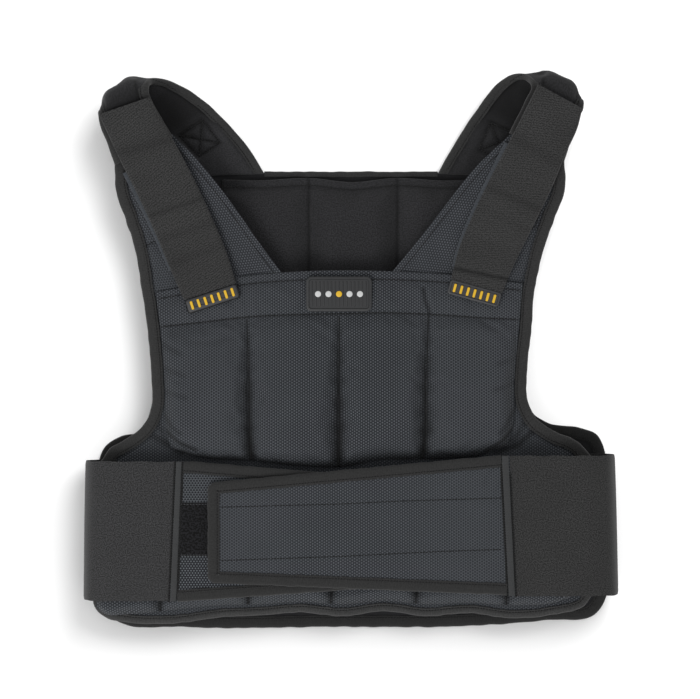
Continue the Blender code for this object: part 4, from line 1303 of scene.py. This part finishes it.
def band(name, node, rows, shift_left, shift_right, first, last, base, thick, long, material, columns, count, crease):
    """A band that follows a strap. base gives its underside, and crease its folds along and across."""
    line = flowing(rows)

    def under(u, v):
        row = line(first + (last - first) * v)
        left, right = row[:, :2], row[:, 2:4]
        across = unit(right - left)
        out_by = shift_left * (1 - 0.5 * v[:, None] ** 2)
        plan = (left + across * out_by) * (1 - u)[:, None] + (right + across * shift_right) * u[:, None]
        wide = np.linalg.norm(right - left, axis=1) + shift_right - shift_left
        pattern = np.column_stack([u * wide, v * long])
        return np.column_stack([plan, base(plan, row)]), pattern

    def over(u, v):
        points, pattern = under(u, v)
        edge = np.minimum(u, 1 - u) * 54
        rounding = 0.45 * thick * (1 - np.clip(edge / 1.6, 0, 1)) ** 2
        points[:, 2] += thick - rounding + crease(u, v, pattern)
        return points, pattern

    piece, u, v, _ = pad_of(name, columns, count, over, under)
    outwards(piece)
    # Painted shade in the creases and a painted highlight on the ridges, for materials that read it.
    shaded(piece, 1 + 0.22 * np.minimum(crease(u, v, under(u, v)[1]), 0.3))
    smooth(piece, 60)
    dressed(piece, material, node)
    return piece


def strap_creases(marks, seed):
    def crease(u, v, pattern):
        total = 0.25 * ripple(pattern[:, 0] * 0.4, pattern[:, 1], 45, seed)
        for share, reach, depth, slant in marks:
            total = total - depth * near((v - share - slant * (u - 0.5)) * STRAP_LONG, reach)
        return total

    return crease


def backing_ribs(u, v, pattern):
    return 0.35 * np.sin(pattern[:, 1] * 6.28 / 4.2) + 0.25 * ripple(pattern[:, 0], pattern[:, 1], 5, 51)


def strap_base(plan, row):
    return row[:, 4]


def backing_base(plan, row):
    return wing_level(plan[:, 1]) + TAPE + 2 * GAP


LEFT_CREASES = ((0.55, 4.0, 1.3, 0.0), (0.22, 9.0, 0.9, 0.03), (0.67, 8.0, 0.8, 0.0), (0.31, 10.0, -0.5, 0.0),
                (0.80, 7.0, 0.6, -0.02), (0.43, 8.0, -0.4, 0.02))
RIGHT_CREASES = ((0.53, 7.0, 1.0, 0.0), (0.935, 3.5, 2.4, -0.02), (0.28, 10.0, 0.7, 0.02), (0.74, 10.0, -0.5, 0.0),
                 (0.40, 8.0, -0.4, 0.0), (0.64, 8.0, 0.5, 0.02))
for word, rows, creases in (("left", STRAP_LEFT, LEFT_CREASES), ("right", STRAP_RIGHT, RIGHT_CREASES)):
    band(f"strap_webbing_{word}", f"strap_{word}", rows, 0, 0, 0, 1, strap_base, STRAP_THICK, STRAP_LONG, webbing, 34,
         136, strap_creases(creases, 61))
    ridge, ends_at, ridge_long = (-4.0, 0.84, 120.0) if word == "left" else (-3.6, 0.94, 138.0)
    band(f"strap_ridge_{word}", f"strap_backing_{word}", rows, ridge, -RIDGE_NARROWER, 0.31, ends_at,
         backing_base, BACKING_THICK, ridge_long, backing_cloth, 24, 110, backing_ribs)


# %% [markdown]
# ## The rubber tabs
# A tab is moulded: a plate with a rounded edge, a shallow tray in its face, and upright grip bars in the tray. It is
# modelled flat at the origin by bevel and inset, then turned and moved to the strap's end, and that is applied.

# %% Tabs
def faces_up(piece, margin=0.999):
    """Selects the highest faces that look up, in edit mode."""
    bpy.ops.object.mode_set(mode="OBJECT")
    top = max(polygon.center.z for polygon in piece.data.polygons if polygon.normal.z > margin)
    for polygon in piece.data.polygons:
        polygon.select = polygon.normal.z > margin and polygon.center.z > top - 1e-5
    bpy.ops.object.mode_set(mode="EDIT")
    bpy.ops.mesh.select_mode(type="FACE")


def upright_edges(piece):
    bpy.ops.object.mode_set(mode="OBJECT")
    for polygon in piece.data.polygons:
        polygon.select = False
    spots = [corner.co for corner in piece.data.vertices]
    for edge in piece.data.edges:
        a, b = (spots[k] for k in edge.vertices)
        edge.select = abs(a.z - b.z) > 1e-5 and (a.xy - b.xy).length < 1e-5
    for corner in piece.data.vertices:
        corner.select = False
    bpy.ops.object.mode_set(mode="EDIT")
    bpy.ops.mesh.select_mode(type="EDGE")


def block(name, wide, long, high, corner_radius, edge_radius):
    """A flat moulding that lies on the origin, its corners and its upper edge rounded."""
    bpy.ops.object.select_all(action="DESELECT")
    bpy.ops.mesh.primitive_cube_add(size=1, location=(0, 0, high * MM / 2))
    piece = bpy.context.object
    piece.name = piece.data.name = name
    piece.scale = (wide * MM, long * MM, high * MM)
    bpy.ops.object.transform_apply(location=True, rotation=False, scale=True)
    bpy.ops.object.mode_set(mode="EDIT")
    bpy.ops.mesh.select_all(action="DESELECT")
    upright_edges(piece)
    bpy.ops.mesh.bevel(offset=corner_radius * MM, segments=5, affect="EDGES")
    faces_up(piece)
    bpy.ops.mesh.bevel(offset=edge_radius * MM, segments=3, affect="EDGES")
    faces_up(piece)
    return piece


def copied(first, name):
    """A copy with a mesh of its own, at the origin like the first."""
    piece = first.copy()
    piece.data = first.data.copy()
    piece.name = piece.data.name = name
    bpy.context.scene.collection.objects.link(piece)
    return piece


def set_down(piece, spot, turn):
    """Puts a finished moulding in its place, and its place in its mesh."""
    select_only(piece)
    piece.rotation_euler = (0, 0, turn)
    piece.location = in_frame(spot)
    bpy.ops.object.transform_apply(location=True, rotation=True, scale=True)


TAB_LONG = 15.0
TAB_THICK = 4.5
BARS = 7


def pull_tab(word, rows):
    left, right = np.array(rows[-1][:2], float), np.array(rows[-1][2:4], float)
    across = (right - left) / np.linalg.norm(right - left)
    down = np.array([across[1], -across[0]])
    wide = np.linalg.norm(right - left)
    spot = (left + right) / 2 + down * (GAP + (TAB_LONG - GAP) / 2)
    turn = math.atan2(across[1], across[0])
    under = rows[-1][4]
    piece = block(f"tab_rubber_{word}", wide, TAB_LONG - GAP, TAB_THICK - 0.7, 3.0, 0.7)
    bpy.ops.mesh.inset(thickness=1.3 * MM, depth=0.0)
    bpy.ops.mesh.inset(thickness=0.5 * MM, depth=-0.9 * MM)
    bpy.ops.object.mode_set(mode="OBJECT")
    smooth(piece, 40)
    set_down(piece, (*spot, under), turn)
    dressed(piece, grey_rubber, f"pull_tab_{word}")
    step = (wide - 12) / (BARS - 1)
    bars = [block(f"tab_bar_{word}_0", 2.6, TAB_LONG - 6.4, 1.6, 0.9, 0.5)]
    bpy.ops.object.mode_set(mode="OBJECT")
    smooth(bars[0], 50)
    bars += [copied(bars[0], f"tab_bar_{word}_{number}") for number in range(1, BARS)]
    for number, bar in enumerate(bars):
        place = spot + across * (number - (BARS - 1) / 2) * step
        set_down(bar, (*place, under + TAB_THICK - 1.65), turn)
        dressed(bar, yellow_rubber)


pull_tab("left", STRAP_LEFT)
pull_tab("right", STRAP_RIGHT)

# %% [markdown]
# ## The chest plate
# It is a thin rubber plate on the yoke. An inset makes a raised rim round a sunken field. The field has fine ribs
# across it, and on them a row of five small round studs, the middle one yellow.

# %% Chest plate
PATCH_CENTRE = (-11.0, 55.0)
PATCH_SIZE = (66.0, 35.0)
PATCH_BASE = FRONT_TOP + GAP + YOKE_FILL + GAP
PATCH_THICK = 2.5


plate = block("chest_plate", *PATCH_SIZE, PATCH_THICK - 0.1, 5.5, 0.8)
bpy.ops.mesh.inset(thickness=1.9 * MM, depth=0.0)
bpy.ops.mesh.inset(thickness=0.6 * MM, depth=-1.0 * MM)
bpy.ops.object.mode_set(mode="OBJECT")
smooth(plate, 40)
set_down(plate, (*PATCH_CENTRE, PATCH_BASE), 0.0)
dressed(plate, black_rubber, "chest_patch")
RIBS = 15
ribs = [block("plate_rib_0", 1.3, PATCH_SIZE[1] - 10, 0.7, 0.55, 0.25)]
bpy.ops.object.mode_set(mode="OBJECT")
smooth(ribs[0], 50)
ribs += [copied(ribs[0], f"plate_rib_{number}") for number in range(1, RIBS)]
for number, rib in enumerate(ribs):
    x = PATCH_CENTRE[0] + (number - (RIBS - 1) / 2) * (PATCH_SIZE[0] - 12) / (RIBS - 1)
    set_down(rib, (x, PATCH_CENTRE[1], PATCH_BASE + PATCH_THICK - 1.15), 0.0)
    dressed(rib, black_rubber)
bpy.ops.object.select_all(action="DESELECT")
bpy.ops.mesh.primitive_cylinder_add(vertices=32, radius=3.1 * MM, depth=1.2 * MM)
stud = bpy.context.object
stud.name = stud.data.name = "plate_stud_0"
bpy.ops.object.mode_set(mode="EDIT")
faces_up(stud)
bpy.ops.mesh.bevel(offset=0.5 * MM, segments=3, affect="EDGES")
bpy.ops.object.mode_set(mode="OBJECT")
smooth(stud, 40)
studs = [stud] + [copied(stud, f"plate_stud_{number}") for number in range(1, 5)]
for number, stud in enumerate(studs):
    set_down(stud, (PATCH_CENTRE[0] + (number - 2) * 10.5, PATCH_CENTRE[1], PATCH_BASE + PATCH_THICK - 0.8), 0.0)
    dressed(stud, yellow_rubber if number == 2 else pale_rubber)


# %% [markdown]
# ## The elastic
# A wide band goes from its seam inside the back, round the side, to its joint with the flap. It is a smooth path in
# side view, and the band is wide across it. Elastic pulls in unevenly, so its edges wave a little.

# %% Elastic bands
ELASTIC_LEFT = ((-221, 6.9), (-246, 6.9), (-259, 12.0), (-265, 24.0), (-265, 40.0), (-258, 52.5), (-244, 57.6),
                (-210, 58.6), (-177, 57.3))
ELASTIC_RIGHT = ((224, 6.9), (249, 6.9), (261, 12.0), (266, 24.0), (266, 42.0), (259, 56.5), (245, 61.8),
                 (205, 64.0), (161.5, 63.2))
ELASTIC_THICK = 2.2
JOINT_SLANT = 3.0


def elastic(word, turns, head, foot, slant, splay, seed, material):
    line = flowing(turns)
    side = -1 if word == "left" else 1
    long = np.linalg.norm(np.diff(np.array(turns), axis=0), axis=1).sum()

    def offset_by(half):
        def surface(u, v):
            row = line(v)
            course = unit(line(np.minimum(v + 0.01, 1)) - line(np.maximum(v - 0.01, 0)))
            normal = np.column_stack([-course[:, 1], course[:, 0]]) * -side
            lean = slant * (2 * u - 1) * ease((v - 0.6) / 0.4)
            lean = lean + side * (splay * (0.5 - u) - 0.6) * swell(v, 0.6)
            wave = 0.28 * ripple(v * long, 0 * v, 34, seed) * (1 - swell(u, 1.0)) * ease((1 - v) / 0.1)
            y = foot + (head - foot) * u + wave * np.sign(0.5 - u)
            bulge = 0.35 * ripple(v * long, y * 0.15, 30, seed + 1) * ease((1 - v) / 0.15)
            rounding = np.clip(1 - np.minimum(u, 1 - u) * (head - foot) / 1.5, 0, 1) ** 2
            out = half * (1 - 0.5 * rounding) + bulge
            points = np.column_stack([row[:, 0] + lean + normal[:, 0] * out, y, row[:, 1] + normal[:, 1] * out])
            return points, np.column_stack([v * long, u * (head - foot)])

        return surface

    piece, *_ = pad_of(f"elastic_band_{word}", 42, 76, offset_by(ELASTIC_THICK / 2), offset_by(-ELASTIC_THICK / 2))
    outwards(piece)
    smooth(piece, 60)
    dressed(piece, material, f"belt_elastic_{word}")
    print(piece.name, "is", round(long), "mm long")
    return piece


elastic_left = elastic("left", ELASTIC_LEFT, -112.0, -251.0, JOINT_SLANT, 2.6, 71, elastic_cloth)
# the right band takes the darker copy, painted shade
elastic_right = elastic("right", ELASTIC_RIGHT, -106.0, -245.5, -JOINT_SLANT, 4.2, 73, shaded_elastic_cloth)


# %% [markdown]
# ## The belt flaps
# A flap is two layers of outer cloth over a stiff board, so it lies almost flat. Its free end has cut corners, and
# tape binds three of its sides.

# %% Flaps
def corner_points(corners, cut=4.0):
    start, first, second, end = (np.array(corner, float) for corner in corners)
    towards = lambda a, b: a + (b - a) / np.linalg.norm(b - a) * cut
    return [start, towards(first, start), towards(first, second), towards(second, first), towards(second, end), end]


UNDER_FLAP = ((-173.6, -112), (132, -137), (132, -229), (-179.6, -251))
OVER_FLAP = ((158.0, -106), (-140, -134), (-140, -231), (163.8, -243.5))


def flap(name, word, corners, under, seed, dents, material):
    start, first, second, end = corners
    left, right = ((end, start), (second, first))
    if start[0] > first[0]:
        left, right = right, left
    place = between(left, right, (left[0], right[0]), (left[1], right[1]))

    def face(u, v):
        plan = place(u, v)
        x, y = plan.T
        z = under + FLAP_THICK - 0.1 + 0.22 * ripple(x, y, 60, seed)
        for line, reach, depth in dents:
            z = z - depth * near(distance_to(x, y, line), reach)
        return np.column_stack([plan, z]), plan if word == "over" else np.column_stack([y, -x])

    def below(u, v):
        plan = place(u, v)
        return level(plan, under), plan

    piece, *_ = pad_of(name, 110, 50, face, below)
    outwards(piece)
    smooth(piece)
    dressed(piece, material, f"belt_flap_{word}")
    laid(piece)
    outline = corner_points(corners)
    begin = outline[0] + unit((outline[1] - outline[0])[None])[0] * 8.2
    finish = outline[5] + unit((outline[4] - outline[5])[None])[0] * 8.2
    plan = run_of((begin, *outline[1:5], finish))
    edge = level(plan, under + FLAP_THICK / 2)
    side = 1 if word == "over" else -1
    bound = tape(f"flap_tape_{word}", f"flap_binding_{word}", edge, beside(edge, 5, side), FLAP_THICK, seed=seed + 2,
                 pucker=0.15, material=flap_edge_tape)
    inner = beside(edge, TAPE_WIDTH - SEAM_INSET, side)
    dark_seams.append((bound, inner))
    return piece


OVER_STITCHES = (((-128, -157), (-10, -154), (50, -151), (150, -148)),
                 ((-128, -210), (-10, -206), (90, -201), (150, -199)))
under_dents = [(((-166, -222), (-150, -234), (-140, -240)), 5.0, 0.9)]
over_dents = [(line, 2.5, 0.35) for line in OVER_STITCHES]
over_dents += [(((136, -132), (150, -104)), 5.0, 1.5), (((144, -150), (152, -128)), 5.0, 0.8)]
under_flap = flap("flap_cloth_under", "under", UNDER_FLAP, FLAP_UNDER, 81, under_dents, under_cloth)
over_flap = flap("flap_cloth_over", "over", OVER_FLAP, OVER_UNDER, 84, over_dents, outer_cloth)

# %% [markdown]
# ## The joints and the fastener
# A strip of tape covers each joint of elastic and flap. The flaps fasten with a field of fleece on the lower one and
# hooks on the upper one, and a little of the fleece shows beside the upper flap.

# %% Joint strips and fastener
STRIP_THICK = 1.4
joint_seams = []
for word, strip, under in (
    ("left", ((-172.8, -112), (-167.4, -112), (-172.9, -251), (-179.0, -251)), FLAP_UNDER + FLAP_THICK + GAP),
    ("right", ((150.6, -106), (157.2, -106), (163.8, -245), (157.6, -245)), OVER_UNDER + FLAP_THICK + GAP),
):
    head_left, head_right, foot_right, foot_left = (np.array(corner, float) for corner in strip)
    strip_place = between((foot_left, head_left), (foot_right, head_right), (foot_left, foot_right),
                          (head_left, head_right))

    def strip_face(u, v):
        plan = strip_place(u, v)
        rise = STRIP_THICK * (0.55 + 0.45 * swell(u, 0.4)) + 0.12 * ripple(plan[:, 0], plan[:, 1], 7, 91)
        return np.column_stack([plan, under + rise]), plan

    def strip_under(u, v):
        plan = strip_place(u, v)
        return level(plan, under), plan

    joint, *_ = pad_of(f"joint_tape_{word}", 14, 90, strip_face, strip_under)
    outwards(joint)
    smooth(joint, 60)
    dressed(joint, joint_tape, f"belt_end_strip_{word}")
    on_left, on_right = (elastic_left, under_flap) if word == "left" else (over_flap, elastic_right)
    beside_strip = np.array([1.2, 0.0])
    joint_seams.append((on_left, run_of((head_left - beside_strip, foot_left - beside_strip))))
    joint_seams.append((on_right, run_of((head_right + beside_strip, foot_right + beside_strip))))

LOOP_UNDER = FLAP_UNDER + FLAP_THICK + GAP
loop_place = between(((-170.2, -206), (-168.4, -153)), ((60, -206), (60, -153)), ((-170.2, -206), (60, -206)),
                     ((-168.4, -153), (60, -153)))


def loop_face(u, v):
    plan = loop_place(u, v)
    nap = 0.16 * ripple(plan[:, 0], plan[:, 1], 3.2, 95, waves=12)
    edge = np.minimum(np.minimum(u * 226, (1 - u) * 226), np.minimum(v * 53, (1 - v) * 53))
    rise = 1.0 * ease(edge / 2.5)
    return np.column_stack([plan, LOOP_UNDER + 0.1 + rise + nap]), plan


def loop_below(u, v):
    plan = loop_place(u, v)
    return level(plan, LOOP_UNDER), plan


loops, *_ = pad_of("loop_field", 150, 36, loop_face, loop_below)
outwards(loops)
smooth(loops, 70)
dressed(loops, loop_fleece, "loop_patch")
laid(loops)
hooks = bpy.data.objects["hook_patch"]
for slot in hooks.material_slots:
    slot.material = black_rubber


# %% [markdown]
# ## The rows of stitches
# A seam is what a maker looks at first. Thread lies along every hem and every tape, a little lighter or darker than
# the cloth.

# %% Stitch rows
chest_place = between(CHEST_LEFT, CHEST_RIGHT, CHEST_FOOT, CHEST_HEM)
many = np.linspace(0.01, 0.99, 120)
pale_seams += [(loops, ((-169, y), (-138, y))) for y in (-154.4, -204.8)]
dark_seams += [(chest, chest_place(many, np.full(120, HEM_STITCH - 0.003))),
               (chest, chest_place(many, np.full(120, YOKE_SEAM + 0.004)))]
up_valley = np.linspace(0.01, YOKE_SEAM - 0.01, 90)
dark_seams += [(chest, chest_place(np.full(90, seam), up_valley)) for seam in CHEST_SEAMS[1:4]]
dark_seams += [(over_flap, line) for line in OVER_STITCHES]
back_mouth = between(*UPPER_EDGES)
lower_place = between(*LOWER_EDGES)
dark_seams.append((back_inner, back_mouth(many, np.full(120, MOUTH))))
stitches("seams_pale", thread_grey, pale_seams, pitch=3.0, long=2.2)
dark_seams += [(lower, lower_place(np.full(20, seam), np.linspace(0.0, 0.16, 20))) for seam in LOWER_SEAMS[1:6]]
dark_seams += [(wing_right, line) for line in PATCHED]
stitches("seams_dark", thread_dark, dark_seams, pitch=2.9, long=2.4, wide=0.58)
stitches("seams_quilt", thread_dark, quilt_seams, pitch=2.9, long=2.5, wide=0.75)
stitches("seams_joint", thread_dark, joint_seams, pitch=2.6, long=2.8, wide=1.35)

# %% [markdown]
# ## Floor, light and camera
# The vest lies on a white floor under soft light: a pale sky and two wide panels. The floor's shadow falls to the left
# and below, while the vest itself is brighter on its left, so each panel lights only one of them. The camera looks
# straight down through a long lens, and it is as far away as shows the belt a little larger than the panel under it.

# %% Stage
bpy.ops.object.select_all(action="DESELECT")
bpy.ops.mesh.primitive_plane_add(size=12)
floor = bpy.context.object
floor.name = floor.data.name = "floor"
floor_recipe = Recipe("white_floor", 0.9, specular=0.1)
floor.data.materials.append(floor_recipe.finished((0.92, 0.92, 0.92, 1.0)))
floor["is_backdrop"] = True

world = bpy.data.worlds.new("studio")
bpy.context.scene.world = world
world.use_nodes = True
world.node_tree.nodes["Background"].inputs["Color"].default_value = (1, 1, 1, 1)
world.node_tree.nodes["Background"].inputs["Strength"].default_value = 0.9


def light_panel(name, spot, size, watts, lit):
    """A square of light that looks at the vest, and lights only what it is given."""
    data = bpy.data.lights.new(name, "AREA")
    data.shape = "SQUARE"
    data.size = size
    data.energy = watts
    panel = bpy.data.objects.new(name, data)
    panel.location = spot
    panel.rotation_euler = (-Vector(spot)).to_track_quat("-Z", "Y").to_euler()
    bpy.context.scene.collection.objects.link(panel)
    group = bpy.data.collections.new(name + "_lights")
    for piece in lit:
        group.objects.link(piece)
    panel.light_linking.receiver_collection = group


light_panel("floor_panel", (1.05, 1.55, 2.1), 1.6, 60, [floor])
light_panel("vest_panel", (-1.0, -1.4, 2.2), 1.4, 60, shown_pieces())

CAMERA_HEIGHT = 2.645
PLANE_SEEN = 0.045  # a thing at this height shows one millimetre to a pixel
camera_data = bpy.data.cameras.new("camera")
camera_data.sensor_width = 36.0
camera_data.lens = 36.0 * (CAMERA_HEIGHT - PLANE_SEEN) / 0.7
camera_data.clip_end = 20.0
camera = bpy.data.objects.new("camera", camera_data)
camera.location = (*in_frame((0.0, -0.5, 0.0))[:2], CAMERA_HEIGHT)
bpy.context.scene.collection.objects.link(camera)
bpy.context.scene.camera = camera
bpy.context.scene.view_settings.view_transform = "Standard"
